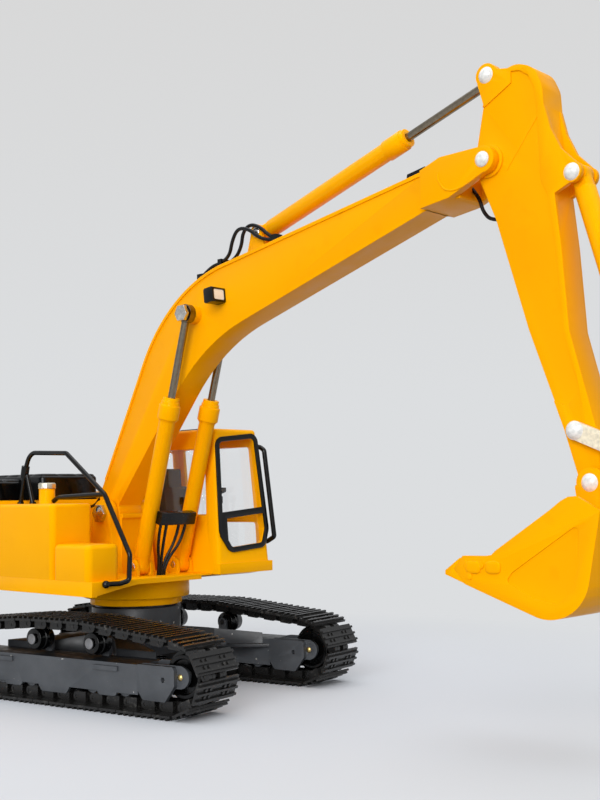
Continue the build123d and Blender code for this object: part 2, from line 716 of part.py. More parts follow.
with BuildPart() as left_housing:
    add(rounded_casing((deck_rear, left_housing_front), (hood_left, deck_half_width), (deck_top, left_housing_top), 1.5, 1.5))
finish(left_housing, "left_housing")

hood_cell = 6.0
hood_groove = 0.5
hood_rear = -58.0

with BuildPart() as engine_hood:
    block((hood_rear, housing_front), (-deck_half_width + 0.5, hood_left - side_gap), (housing_top, hood_top - 1.4))
    block((hood_rear, hood_front), (tank_inner + side_gap, hood_left - side_gap), (housing_top, hood_top))
    fillet(engine_hood.edges().filter_by(Axis.Z), 1.2)
    fillet(engine_hood.faces().sort_by(Axis.Z)[-1].edges(), 0.9)
    groove_x = hood_front - hood_cell
    while groove_x > hood_rear + hood_cell / 2:
        block((groove_x - hood_groove, groove_x), (tank_inner, hood_left), (hood_top - 0.6, hood_top + 1), Mode.SUBTRACT)
        groove_x -= hood_cell
    for row in range(3):
        groove_y = tank_inner + (row + 0.75) * hood_cell
        block((hood_rear, hood_front + 1), (groove_y, groove_y + hood_groove), (hood_top - 0.6, hood_top + 1), Mode.SUBTRACT)
finish(engine_hood, "engine_hood")

with BuildPart() as counterweight:
    with BuildSketch(Plane.XY.offset(counterweight_bottom)) as tail:
        Circle(tail_radius)
        with Locations((deck_rear - tail_radius, 0)):
            Rectangle(2 * tail_radius, 2 * deck_half_width, mode=Mode.INTERSECT)
    extrude(tail.sketch, amount=counterweight_top - counterweight_bottom)
    fillet(counterweight.edges().filter_by(Axis.Z), 2.0)
    fillet(counterweight.faces().sort_by(Axis.Z)[-1].edges(), 1.2)
    block((hood_rear - 0.2, deck_rear), (-deck_half_width, deck_half_width), (housing_top, counterweight_top + 1), Mode.SUBTRACT)
finish(counterweight, "counterweight")


# Boom --------------------------------------------------------------------------------------

foot_radius = 4.0
boss_reach = 5.6            # how far the ram head bosses stand out from the middle plane
ear_thickness = 0.9
arm_ram_ear = (1.9, 2.8)    # the two ears that hold the arm ram's foot
lamp_size = (3.3, 4.3, 3.7)
lamp_centre = (39.1, 99.3)
lamp_tilt = 6
lamp_rounding = 0.5
lens_size = (3.4, 2.6)
lens_rounding = 0.4
lens_setback = 0.6
lens_thickness = 0.45
boom_block_outline = [(96.0, 116.4), (101.4, 117.3), (101.2, 119.4), (96.4, 118.6)]

boom_outline = [
    (-10.1, 45.9), (-11.2, 50.5), boom_crest, (104.0, 117.9), (112.0, 117.9),
    (112.0, 110.3), (104.0, 109.5), boom_belly, (-3.7, 47.0), (-3.0, 43.6),
]
nose_outline_points = [(103.0, 117.2), (108.2, 119.0), (118.7, 119.0), (118.7, 113.6), (110.2, 110.1), (103.0, 109.2)]
fork_gap = [(fork_wall, 105.0), (125.0, 105.0), (125.0, 122.0), (fork_wall, 122.0)]

with BuildPart() as boom:
    with BuildSketch(side_plane(boom_half_width)) as web:
        with BuildLine():
            Polyline(*boom_outline, close=True)
        make_face()
        crest = web.vertices().sort_by_distance(Vector(*boom_crest))[0]
        fillet(crest, boom_crest_radius)
        belly = web.vertices().sort_by_distance(Vector(*boom_belly))[0]
        fillet(belly, boom_belly_radius)
    extrude(amount=2 * boom_half_width)
    cross_bar(boom_foot, foot_radius, boom_half_width)
    slab(side_plane(nose_half_width), nose_outline_points, 2 * nose_half_width)
    cross_bar(boom_tip, 2.7, nose_half_width)
    slab(side_plane(fork_half_gap), fork_gap, 2 * fork_half_gap, mode=Mode.SUBTRACT)
    cross_bar(boom_ram_head, 2.3, boss_reach)
    cross_bar(boom_foot, boom_pin_radius + pin_clearance, boom_half_width, Mode.SUBTRACT)
    cross_bar(boom_ram_head, ram_pin_radius + seat_clearance, boss_reach, Mode.SUBTRACT)
    cross_bar(boom_tip, tip_pin_radius + seat_clearance, nose_half_width, Mode.SUBTRACT)
    for side in (-1, 1):
        low, high = sorted((side * arm_ram_ear[0], side * arm_ram_ear[1]))
        slab(side_plane(high), [(47.0, 107.0), (54.0, 108.5), (52.2, 114.2), (49.2, 114.2)], high - low)
        bar(side_plane(high), arm_ram_foot, 1.9, high - low)
    cross_bar(arm_ram_foot, ram_pin_radius + seat_clearance, arm_ram_ear[1], Mode.SUBTRACT)
finish(boom, "boom")

with BuildPart() as boom_ram_head_pin:
    nut_inner = ram_spacing + rod_eye_half_width + side_gap
    cross_bar(boom_ram_head, ram_pin_radius, nut_inner + nut_thickness)
    hexagon(side_plane(-nut_inner), boom_ram_head, 2.2, nut_thickness)
    dome(side_plane(-nut_inner - nut_thickness), boom_ram_head, 1.6, 0.35)
    hexagon(side_plane(nut_inner + nut_thickness), boom_ram_head, 2.2, nut_thickness)


def riveted_pin(centre, shank_radius, half_length, head_radius, head_height):
    """A pin across the middle plane with a domed head on each side."""
    with BuildPart() as pin:
        cross_bar(centre, shank_radius, half_length)
        dome(side_plane(-half_length), centre, head_radius, head_height)
        far_side = side_plane(half_length)
        far_side = Plane(origin=far_side.origin, x_dir=-far_side.x_dir, z_dir=-far_side.z_dir)
        dome(far_side, (-centre[0], centre[1]), head_radius, head_height)
    return pin


boom_tip_pin = riveted_pin(boom_tip, tip_pin_radius, nose_half_width, 1.7, 0.9)
arm_ram_foot_pin = riveted_pin(arm_ram_foot, ram_pin_radius, arm_ram_ear[1], 1.3, 0.4)
finish_group([pin.part.solid() for pin in (boom_ram_head_pin, boom_tip_pin, arm_ram_foot_pin)], "boom_pins")

lamp_inner = -boom_half_width
with BuildPart() as work_lamp:
    with BuildSketch(side_plane(lamp_inner)) as lamp_face:
        with Locations(Location(lamp_centre, lamp_tilt)):
            Rectangle(lamp_size[0], lamp_size[2])
        fillet(lamp_face.vertices(), lamp_rounding)
    extrude(amount=lamp_size[1])
    lamp_front = Plane(
        origin=(lamp_centre[0], lamp_inner - lamp_size[1] / 2, lamp_centre[1]),
        x_dir=(0, 1, 0),
        z_dir=(cos(radians(lamp_tilt)), 0, sin(radians(lamp_tilt))),
    ).offset(lamp_size[0] / 2 - lens_setback)
    with BuildSketch(lamp_front) as lens_pocket:
        RectangleRounded(*lens_size, lens_rounding)
    extrude(lens_pocket.sketch, amount=lamp_size[0], mode=Mode.SUBTRACT)
finish(work_lamp, "work_lamp")

with BuildPart() as lamp_lens:
    with BuildSketch(lamp_front) as lens_face:
        RectangleRounded(lens_size[0] - 2 * seat_clearance, lens_size[1] - 2 * seat_clearance, lens_rounding)
    extrude(lens_face.sketch, amount=lens_thickness)
finish(lamp_lens, "lamp_lens")



# Rams --------------------------------------------------------------------------------------

def ram_plane(foot, head, y):
    """The cross-section plane of a ram at its foot pin, facing its head pin."""
    return Plane(origin=(foot[0], y, foot[1]), x_dir=(0, 1, 0), z_dir=(head[0] - foot[0], 0, head[1] - foot[1]))


def ram_reach(foot, head):
    return hypot(head[0] - foot[0], head[1] - foot[1])


def round_length(base, radius, start, length, mode=Mode.ADD):
    """A round length of a ram, from a distance along it."""
    with BuildSketch(base.offset(start)) as section:
        Circle(radius)
    extrude(section.sketch, amount=length, mode=mode)


def ram_barrel(foot, head, y, length):
    """A ram's barrel: an eye at the foot, the tube, and a collar at the mouth."""
    base = ram_plane(foot, head, y)
    with BuildPart() as barrel:
        round_length(base, barrel_radius - 0.15, 0, 4.0)
        round_length(base, barrel_radius, 3.0, length - 3.0)
        round_length(base, collar_radius, length - collar_length, collar_length - 1.0)
        eye_face = side_plane(y + ram_eye_half_width)
        bar(eye_face, foot, barrel_radius - 0.15, 2 * ram_eye_half_width)
        for side in (-1, 1):
            spare = Plane(origin=(foot[0], y + side * ram_eye_half_width, foot[1]), x_dir=(1, 0, 0), z_dir=(0, side, 0))
            with BuildSketch(spare) as flat:
                Circle(2.9)
            extrude(flat.sketch, amount=2.0, mode=Mode.SUBTRACT)
        round_length(base, rod_radius + rod_clearance, 4.0, length, Mode.SUBTRACT)
        bar(eye_face, foot, ram_pin_radius + pin_clearance, 2 * ram_eye_half_width, Mode.SUBTRACT)
    return barrel


def ram_rod(foot, head, y, start, eye_radius, bore):
    """A ram's rod, from a distance along the barrel to the eye on its head pin."""
    base = ram_plane(foot, head, y)
    with BuildPart() as rod:
        round_length(base, rod_radius, start, ram_reach(foot, head) - start)
        eye_face = side_plane(y + rod_eye_half_width)
        bar(eye_face, head, eye_radius, 2 * rod_eye_half_width)
        for side in (-1, 1):
            spare = Plane(origin=(head[0], y + side * rod_eye_half_width, head[1]), x_dir=(1, 0, 0), z_dir=(0, side, 0))
            with BuildSketch(spare) as flat:
                Circle(eye_radius)
            extrude(flat.sketch, amount=2.0, mode=Mode.SUBTRACT)
        bar(side_plane(y + rod_eye_half_width), head, bore, 2 * rod_eye_half_width, Mode.SUBTRACT)
        round_length(base, rod_radius, start, 4.0)
    return rod


rod_head_radius = 2.1
sides = (-1, 1)
boom_barrels = [ram_barrel(boom_ram_foot, boom_ram_head, side * ram_spacing, boom_barrel_length) for side in sides]
finish_group([barrel.part.solid() for barrel in boom_barrels], "boom_ram_barrels")
boom_rods = [
    ram_rod(boom_ram_foot, boom_ram_head, side * ram_spacing, 20.0, rod_head_radius + 0.25, ram_pin_radius + rod_head_play)
    for side in sides
]
finish_group([rod.part.solid() for rod in boom_rods], "boom_ram_rods")
arm_ram_barrel = ram_barrel(arm_ram_foot, arm_ram_head, 0, arm_barrel_length)
finish(arm_ram_barrel, "arm_ram_barrel")

manifold_base = ram_plane(boom_ram_foot, boom_ram_head, 0)
manifold_station = 12.4
manifold_height = 3.3
manifold_depth = 2.4
manifold_back = -barrel_radius + 0.2
manifold_front = manifold_back - manifold_depth
manifold_reach = (-6.2, 5.2)
manifold_lug = 5.3          # how far each lug that grips a barrel is from the middle plane

with BuildPart(manifold_base) as manifold_block:
    block(manifold_reach, (manifold_front, manifold_back), (manifold_station, manifold_station + manifold_height))
    fillet(manifold_block.edges().filter_by(lambda edge: abs(edge.tangent_at(0.5).Y) > 0.99), 0.4)
    for side in sides:
        lug = (side * manifold_lug - 0.7, side * manifold_lug + 0.7)
        block(lug, (manifold_back - 0.2, -0.8), (manifold_station + 0.6, manifold_station + 2.7))

with BuildPart() as hose_manifold:
    add(manifold_block.part)
    for barrel in boom_barrels:
        add(barrel.part, mode=Mode.SUBTRACT)
finish(hose_manifold, "hose_manifold")


# Arm ---------------------------------------------------------------------------------------

arm_outline = [
    (117.85, 129.0), (115.9, 119.9), (116.3, 112.8), (119.8, 104.4), (126.7, 81.3), (133.9, 61.6),
    (136.4, 53.4), (137.0, 50.9), (142.4, 50.9), (142.6, 52.5), (141.8, 57.0), (135.6, 80.4), (134.5, 96.8), (132.8, 112.8), (131.8, 122.0),
    (131.4, 128.8), (129.6, 132.9), (125.6, 134.6), (121.4, 133.6),
]
arm_head_rounding = 4.8
bucket_ram_lug = [
    (130.0, 126.5), (131.7, 124.6), (132.9, 119.8), (135.0, 115.4), (138.0, 112.3),
    (139.0, 109.6), (136.4, 108.3), (132.2, 106.5), (130.5, 110.0),
]
lug_radius = 2.0
side_panel = [
    (116.9, 126.9), (119.2, 129.6), (121.5, 132.4), (123.9, 133.4), (126.4, 133.0), (128.4, 131.5),
    (129.5, 128.9), (130.2, 123.5), (130.9, 116.5), (133.2, 96.0), (134.3, 80.0), (137.4, 69.0),
    (134.6, 66.0), (130.0, 68.0), (114.0, 112.0), (114.0, 126.5),
]
side_panel_depth = 0.3
arm_boss_radius = 2.75
ear_radius = 2.4
ear_slot = rod_eye_half_width + 0.5
ear_play = 1.7              # how far the arm ram's rod end wanders between the ears
ear_neck = [
    (117.9, 127.6), (124.4, 131.0), (124.4, 134.0), (121.4, 134.6), (119.6, 136.1), (117.4, 136.0), (116.4, 132.8),
]

with BuildPart() as arm:
    with BuildSketch(side_plane(arm_half_width)) as arm_side:
        with BuildLine():
            Polyline(*arm_outline, close=True)
        make_face()
        fillet(arm_side.vertices().sort_by(Axis.Y)[-5:], arm_head_rounding)
    extrude(amount=2 * arm_half_width)
    for side in sides:
        outer_face = side_plane(arm_half_width if side > 0 else side_panel_depth - arm_half_width)
        slab(outer_face, side_panel, side_panel_depth, 1.0, Mode.SUBTRACT)
    cross_bar(boom_tip, 3.3, arm_half_width + 0.25)
    cross_bar(bucket_pivot, arm_boss_radius, arm_half_width)
    slab(side_plane(arm_half_width), ear_neck, 2 * arm_half_width)
    cross_bar(arm_ram_head, ear_radius, arm_half_width)
    cross_bar(arm_ram_head, rod_head_radius + ear_play + side_gap, ear_slot, Mode.SUBTRACT)
    cross_bar(arm_ram_head, ram_pin_radius + seat_clearance, arm_half_width, Mode.SUBTRACT)
    for side in (-1, 1):
        low, high = sorted((side * (barrel_radius + side_gap), side * arm_half_width))
        slab(side_plane(high), bucket_ram_lug, high - low, 0.4)
        bar(side_plane(high), bucket_ram_foot, lug_radius, high - low)
    cross_bar(bucket_ram_foot, ram_pin_radius + seat_clearance, arm_half_width, Mode.SUBTRACT)
    cross_bar(boom_tip, tip_pin_radius + pin_clearance, arm_half_width + 0.25, Mode.SUBTRACT)
    cross_bar(tipping_pivot, ram_pin_radius + seat_clearance, arm_half_width, Mode.SUBTRACT)
    cross_bar(bucket_pivot, tip_pin_radius + seat_clearance, arm_half_width, Mode.SUBTRACT)
finish(arm, "arm")

arm_ear_rivets = []
for side in sides:
    with BuildPart() as arm_ear_rivet:
        shank = arm_half_width - ear_slot
        bar(side_plane(side * (ear_slot + shank / 2) + shank / 2), arm_ram_head, ram_pin_radius, shank)
        face = side_plane(side * arm_half_width)
        if side > 0:
            face = Plane(origin=face.origin, x_dir=-face.x_dir, z_dir=-face.z_dir)
        dome(face, (-side * arm_ram_head[0], arm_ram_head[1]), 1.7, 0.9)
    arm_ear_rivets.append(arm_ear_rivet.part.solid())

bucket_ram_foot_pin = riveted_pin(bucket_ram_foot, ram_pin_radius, arm_half_width, 1.7, 0.9)
tipping_pivot_pin = riveted_pin(tipping_pivot, ram_pin_radius, ear_outer, 1.8, 0.9)
bucket_pivot_pin = riveted_pin(bucket_pivot, tip_pin_radius, ear_outer, 1.7, 0.9)
arm_pins = [pin.part.solid() for pin in (bucket_ram_foot_pin, tipping_pivot_pin, bucket_pivot_pin)]
finish_group(arm_ear_rivets + arm_pins, "arm_pins")

arm_ram_rod = ram_rod(arm_ram_foot, arm_ram_head, 0, 26.0, rod_head_radius, ram_pin_radius)
finish(arm_ram_rod, "arm_ram_rod")


# Bucket linkage ----------------------------------------------------------------------------

bucket_ram_barrel = ram_barrel(bucket_ram_foot, push_pivot, 0, bucket_barrel_length)
finish(bucket_ram_barrel, "bucket_ram_barrel")
bucket_ram_rod = ram_rod(bucket_ram_foot, push_pivot, 0, 16.0, rod_head_radius, tipping_pin_radius + bucket_rod_play)
finish(bucket_ram_rod, "bucket_ram_rod")

link_inner = arm_half_width + side_gap
tipping_links = []
for side in sides:
    with BuildPart() as tipping_link:
        face = side_plane(side * (link_inner + link_thickness / 2) + link_thickness / 2)
        strap(face, tipping_pivot, push_pivot, link_radius, link_thickness)
        bar(face, tipping_pivot, ram_pin_radius + pin_clearance, link_thickness, Mode.SUBTRACT)
        bar(face, push_pivot, tipping_pin_radius + seat_clearance, link_thickness, Mode.SUBTRACT)
    tipping_links.append(tipping_link.part.solid())
finish_group(tipping_links, "tipping_links")
tipping_pin = riveted_pin(push_pivot, tipping_pin_radius, link_inner + link_thickness, 1.4, 0.6)
finish(tipping_pin, "tipping_pin")

push_cheek = (rod_eye_half_width + 0.5, arm_half_width)
push_link_radius = tipping_pin_radius + bucket_rod_play + 0.8

with BuildPart() as push_link:
    for side in sides:
        low, high = sorted((side * push_cheek[0], side * push_cheek[1]))
        strap(side_plane(high), push_pivot, bucket_ear, push_link_radius, high - low)
    cross_bar(bucket_ear, push_link_radius, push_cheek[1])
    cross_bar(push_pivot, tipping_pin_radius + bucket_rod_play, push_cheek[1], Mode.SUBTRACT)
    cross_bar(bucket_ear, ram_pin_radius + pin_clearance, push_cheek[1], Mode.SUBTRACT)
finish(push_link, "push_link")


# Bucket ------------------------------------------------------------------------------------

heel = (140.9, 24.2)
heel_radius = 8.7
bucket_outline = [
    (137.4, 46.4), (123.8, 38.5), (121.1, 38.1), (115.9, 38.0), (113.8, 35.4), (116.3, 32.6), heel, (145.5, 46.4),
]
mouth_outline = [(137.0, 44.8), (122.0, 36.2), (116.9, 36.2), (112.0, 40.0), (122.0, 50.0), (136.2, 50.0)]
cheek_top = [
    (145.4, 46.0), (145.5, 46.6), (140.8, 49.2), (139.2, 49.1), (137.6, 48.3), (135.5, 46.8), (123.4, 39.1),
    (122.4, 38.2), (124.6, 38.4), (136.8, 45.4),
]
ear_outline = [
    (137.2, 46.2), (136.6, 51.0), (141.0, 54.4), (149.6, 46.8), (150.0, 43.8), (145.0, 43.0), (144.6, 46.0),
]
tooth_outline = [(118.5, 31.9), (111.7, 34.3), (111.7, 35.1), (115.2, 37.6), (119.0, 36.4)]
tooth_width = 2.6
panel_outline = [
    (141.3, 44.4), (127.0, 35.2), (125.6, 33.4), (131.6, 30.6), (136.4, 29.8), (139.6, 32.4), (140.7, 36.4),
]
corner_bolts = ((116.8, 36.4), (120.2, 36.4), (117.4, 34.2))
corner_bolt_radius = 0.7
corner_bolt_height = 0.25
panel_depth = 0.25

with BuildPart() as bucket:
    with BuildSketch(side_plane(bucket_half_width)) as shell:
        with BuildLine():
            Polyline(*bucket_outline, close=True)
        make_face()
        fillet(shell.vertices().sort_by_distance(Vector(*heel))[0], heel_radius)
    extrude(amount=2 * bucket_half_width)
    with BuildSketch(side_plane(bucket_half_width - bucket_wall)) as hollow:
        add(shell.sketch_local)
        offset(amount=-bucket_wall)
        with BuildLine():
            Polyline(*mouth_outline, close=True)
        make_face()
    extrude(amount=2 * (bucket_half_width - bucket_wall), mode=Mode.SUBTRACT)
    for side in sides:
        low, high = sorted((side * (bucket_half_width - bucket_wall), side * bucket_half_width))
        slab(side_plane(high), cheek_top, high - low)
        low, high = sorted((side * ear_inner, side * ear_outer))
        slab(side_plane(high), ear_outline, high - low, 0.5)
        bar(side_plane(high), bucket_pivot, arm_boss_radius, high - low)
        bar(side_plane(high), bucket_ear, push_link_radius, high - low)
        outer = side * bucket_half_width
        for bolt in corner_bolts:
            bolt_face = side_plane(outer + (corner_bolt_height if side > 0 else 0))
            bar(bolt_face, bolt, corner_bolt_radius, corner_bolt_height)
        panel_face = side_plane(outer + (0 if side > 0 else panel_depth))
        slab(panel_face, panel_outline, panel_depth, 0.8, Mode.SUBTRACT)
    cross_bar(bucket_pivot, tip_pin_radius + pin_clearance, ear_outer, Mode.SUBTRACT)
    cross_bar(bucket_ear, ram_pin_radius + seat_clearance, ear_outer, Mode.SUBTRACT)
finish(bucket, "bucket")

with BuildPart() as bucket_teeth:
    for tooth in range(tooth_count):
        spacing = (2 * bucket_half_width - tooth_width) / (tooth_count - 1)
        slab(side_plane(bucket_half_width - tooth * spacing), tooth_outline, tooth_width)
    add(bucket.part, mode=Mode.SUBTRACT)
finish_group(bucket_teeth.part.solids().sort_by(Axis.Y), "bucket_teeth")

bucket_ear_pin = riveted_pin(bucket_ear, ram_pin_radius, ear_outer, 1.4, 0.6)
finish(bucket_ear_pin, "bucket_ear_pin")


# Cab ---------------------------------------------------------------------------------------

front_lean = atan2(cab_front_low - cab_front_high, cab_top - cab_base)
left_lean = atan2(cab_left_low - cab_left_high, cab_top - cab_base)
front_wall = Plane(origin=(cab_front_low, 0, cab_base), x_dir=(0, 1, 0), z_dir=(cos(front_lean), 0, sin(front_lean)))
left_wall = Plane(origin=(0, cab_left_low, cab_base), x_dir=(-1, 0, 0), z_dir=(0, cos(left_lean), sin(left_lean)))
right_wall = Plane(origin=(0, cab_right, cab_base), x_dir=(1, 0, 0), z_dir=(0, -1, 0))
rear_wall = Plane(origin=(cab_rear, 0, cab_base), x_dir=(0, -1, 0), z_dir=(-1, 0, 0))


def cab_section(z, inset):
    """The cab's outline at a height, as a sketch."""
    share = (z - cab_base) / (cab_top - cab_base)
    front = cab_front_low + share * (cab_front_high - cab_front_low) - inset
    left = cab_left_low + share * (cab_left_high - cab_left_low) - inset
    rear, right = cab_rear + inset, cab_right + inset
    with BuildSketch(Plane.XY.offset(z)) as section:
        with Locations(((front + rear) / 2, (left + right) / 2)):
            Rectangle(front - rear, left - right)
    return section.sketch


# Panes: each one's wall and its outline there, measured along the wall and up from the cab's base
windscreen = [(10.9, 34.5), (23.6, 35.8), (26.6, 11.3), (25.4, 7.5), (14.2, 6.6), (11.2, 11.0)]
glass_low = sill - cab_base
glass_high = window_top - cab_base
right_window = [(-8.5, glass_low), (17.8, glass_low), (17.4, glass_high), (-8.5, glass_high)]
left_window = [(9.0, glass_low), (-19.0, glass_low), (-18.6, glass_high + 0.8), (9.0, glass_high + 0.8)]
door_window = [(-4.0, 4.8), (-18.8, 4.8), (-19.0, 13.0), (-4.0, 13.0)]
rear_window = [(-12.0, 17.0), (-24.0, 17.0), (-23.0, glass_high), (-12.0, glass_high)]
panes = (
    (front_wall, windscreen, 1.2),
    (right_wall, right_window, 0.8),
    (left_wall, left_window, 0.8),
    (left_wall, door_window, 0.8),
    (rear_wall, rear_window, 0.8),
)
hatch = ((1.0, 13.0), (12.5, 21.0))

plinth_front = cab_front_low + 0.35
plinth_left = cab_left_low + 0.3
plinth_top = 32.4
plinth_drop = 0.25

with BuildPart() as cab_shell:
    loft([cab_section(cab_base, 0), cab_section(cab_top, 0)])
    fillet(cab_shell.edges().filter_by(lambda edge: abs(edge.tangent_at(0.5).Z) > 0.9), 1.2)
    fillet(cab_shell.faces().sort_by(Axis.Z)[-1].edges(), 1.0)
    block((cab_rear, plinth_front), (cab_right, plinth_left), (cab_base, plinth_top))
    loft([cab_section(cab_base + cab_wall, cab_wall), cab_section(cab_top - cab_wall, cab_wall)], mode=Mode.SUBTRACT)
    for wall, outline, corner in panes:
        slab(wall.offset(-2.0), outline, 3.0, corner, Mode.SUBTRACT)
    block(hatch[0], hatch[1], (cab_top - 2, cab_top + 1), Mode.SUBTRACT)
    block((deck_front + 0.1, plinth_front), (cab_right, plinth_left), (cab_base - plinth_drop, cab_base))
finish(cab_shell, "cab_shell")

glass_panes = []
for wall, outline, corner in panes:
    with BuildPart() as pane:
        slab(wall.offset(-0.2 - glass_thickness), outline, glass_thickness, corner)
    glass_panes.append(pane.part.solid())
finish_group(glass_panes, "cab_glass")

with BuildPart() as roof_hatch:
    block((hatch[0][0] + 0.05, hatch[0][1] - 0.05), (hatch[1][0] + 0.05, hatch[1][1] - 0.05), (cab_top - 0.7, cab_top + 0.35))
    fillet(roof_hatch.edges().filter_by(Axis.Z), 1.0)
    for rib_y in (14.5, 16.75, 19.0):
        block((hatch[0][0] + 1, hatch[0][1] - 1), (rib_y - 0.3, rib_y + 0.3), (cab_top + 0.35, cab_top + 0.6))
finish(roof_hatch, "roof_hatch")

trim_band = 1.35
trim_proud = 0.45

with BuildPart() as windscreen_trim:
    with BuildSketch(front_wall) as opening:
        with BuildLine():
            Polyline(*windscreen, close=True)
        make_face()
        fillet(opening.vertices(), 1.2)
    with BuildSketch(front_wall) as trim:
        add(opening.sketch_local)
        offset(amount=trim_band)
        add(opening.sketch_local, mode=Mode.SUBTRACT)
    extrude(trim.sketch, amount=trim_proud)
    slab(front_wall, [(10.2, 14.0), (27.2, 15.5), (27.0, 17.2), (10.2, 15.8)], trim_proud)
    slab(front_wall, [(10.2, 14.9), (12.6, 14.9), (12.9, 7.9), (14.0, 6.4), (13.0, 5.9), (10.2, 9.6)], trim_proud)
finish(windscreen_trim, "windscreen_trim")

def left_wall_at(height):
    """How far left the cab's left wall stands at a height."""
    return cab_left_low + (height - cab_base) / (cab_top - cab_base) * (cab_left_high - cab_left_low)


grab_bar_low = 37.4
grab_bar_high = 63.4
grab_bar_diameter = 1.3
grab_bar_foot = 20.6
grab_bar_route = [
    (grab_bar_foot, left_wall_at(grab_bar_low) + seat_clearance, grab_bar_low),
    (grab_bar_foot, 29.2, grab_bar_low),
    (23.6, 29.1, 38.8),
    (22.3, 26.9, 62.4),
    (grab_bar_foot, 27.0, grab_bar_high),
    (grab_bar_foot, left_wall_at(grab_bar_high) + seat_clearance, grab_bar_high),
]

with BuildPart() as cab_grab_bar:
    tube_along(grab_bar_route, grab_bar_diameter, [0.7, 0.9, 0.9, 0.7])
finish(cab_grab_bar, "cab_grab_bar")

floor_top = cab_base + cab_wall
seat_middle = 18.5

with BuildPart() as seat:
    block((-5.0, 3.0), (seat_middle - 3.2, seat_middle + 3.2), (floor_top, 38.0))
    slab(side_plane(seat_middle + 4.5), [(-6.5, 37.5), (4.5, 37.5), (4.5, 40.5), (-6.5, 40.5)], 9.0, 0.6)
    slab(side_plane(seat_middle + 4.2), [(-6.5, 39.5), (-3.5, 39.5), (-5.5, 53.0), (-8.3, 53.0)], 8.4, 0.6)
    slab(side_plane(seat_middle + 2.4), [(-8.2, 52.0), (-5.5, 52.0), (-6.0, 58.0), (-8.6, 58.0)], 4.8, 0.6)
finish(seat, "seat")

console_middle = 18.0
console_outline = [
    (console_middle - 1.2, floor_top), (console_middle + 1.2, floor_top), (console_middle + 0.6, 50.5),
    (console_middle + 2.6, 51.2), (console_middle + 2.6, 52.4), (console_middle - 2.6, 52.4),
    (console_middle - 2.6, 51.2), (console_middle - 0.6, 50.5),
]

with BuildPart() as control_levers:
    slab(front_plane(12.5), console_outline, 1.2)
    for lever in (-1, 1):
        low, high = sorted((console_middle + lever * 5.6, console_middle + lever * 7.4))
        block((2.5, 8.0), (low, high), (floor_top, 43.0))
        block((6.0, 6.8), ((low + high) / 2 - 0.4, (low + high) / 2 + 0.4), (43.0, 48.0))
        block((5.6, 7.2), ((low + high) / 2 - 0.8, (low + high) / 2 + 0.8), (48.0, 50.0))
finish(control_levers, "control_levers")


# Handrail ----------------------------------------------------------------------------------

rail_foot_front = (-19.8, handrail_side, tank_top)
rail_foot_rear = (-25.7, handrail_side, tank_top)
rail_sleeve = (-23.6, handrail_side, 57.5)
rail_knee = (12.3, handrail_side, 51.0)
rail_socket = (deck_front, -25.4, 29.3)
socket_radius = 0.95

rail_toe = (deck_front + 1.6, handrail_side - 2.2, 29.3)
rail_corners = [
    rail_foot_rear, rail_sleeve, (-21.2, handrail_side, 62.6), (-4.2, handrail_side, 61.9), rail_knee,
    (22.4, handrail_side, 36.2), (22.0, handrail_side, 29.9), rail_toe,
    (rail_socket[0] + 0.4, rail_socket[1], rail_socket[2]),
]
rail_bends = [1.6, 4.0, 2.0, 2.0, 1.6, 1.0, 0.8]
sleeve_diameter = 2.2
sleeve_route = [(-24.0, handrail_side, 55.8), (-23.2, handrail_side, 59.0)]
brace_diameter = 1.22
brace_route = [(-10.0, handrail_side, tank_top + handrail_radius), (-8.0, handrail_side, 50.4), rail_knee]
brace_bend = 1.5

with BuildPart() as handrail:
    tube_along(rail_corners, 2 * handrail_radius, rail_bends)
    tube_along([rail_foot_front, (-22.5, handrail_side, 56.5)], 2 * handrail_radius)
    tube_along(brace_route, brace_diameter, [brace_bend])
    tube_along(sleeve_route, sleeve_diameter)
    for foot in (rail_foot_front, rail_foot_rear):
        with Locations(foot):
            Cylinder(0.9, 0.5, align=(Align.CENTER, Align.CENTER, Align.MIN))
    with Locations((rail_socket[0] + socket_radius, rail_socket[1], rail_socket[2])):
        Sphere(socket_radius)
    block((deck_front - 2, deck_front), (-27, -23), (28, 31), Mode.SUBTRACT)
    block((-12, -5), (handrail_side - 1, handrail_side + 1), (tank_top - 1, tank_top), Mode.SUBTRACT)
    block((-30, -18), (handrail_side - 1, handrail_side + 1), (tank_top - 1, tank_top), Mode.SUBTRACT)
finish(handrail, "handrail")


# Hoses -------------------------------------------------------------------------------------

def hose(points, diameter, name, ends_in=()):
    """One hose, cut off at the faces it goes into; prints its bend radii and length."""
    with BuildPart() as run:
        tube_along(points, diameter)
        for neighbour in ends_in:
            add(neighbour.part, mode=Mode.SUBTRACT)
    radii = arc_radii([Vector(*point) for point in points])
    length = run.part.volume / (pi * diameter**2 / 4)
    print(name, "radii", [round(radius, 1) for radius in radii], "length", round(length, 1))
    return run.part.solid()


hose_port = (13.6, -2.6, deck_top)
manifold_under = (manifold_front + manifold_back) / 2
hose_tops = ((-5.2, -0.95), (-3.3, -0.3), (0.8, 0.3), (3.0, 0.95))   # place along the manifold, and at the port
manifold_hoses = []
for along, at_port in hose_tops:
    top = manifold_base.from_local_coords(Vector(along, manifold_under, manifold_station))
    below = manifold_base.from_local_coords(Vector(along, manifold_under, manifold_station - 4.5))
    bottom = Vector(hose_port[0], hose_port[1] + at_port, hose_port[2])
    above = Vector(hose_port[0] + 0.4, bottom.Y, hose_port[2] + 3.2)
    manifold_hoses.append(hose([top, below, above, bottom], hose_diameter, "manifold hose", [revolving_frame]))
finish_group(manifold_hoses, "manifold_hoses")

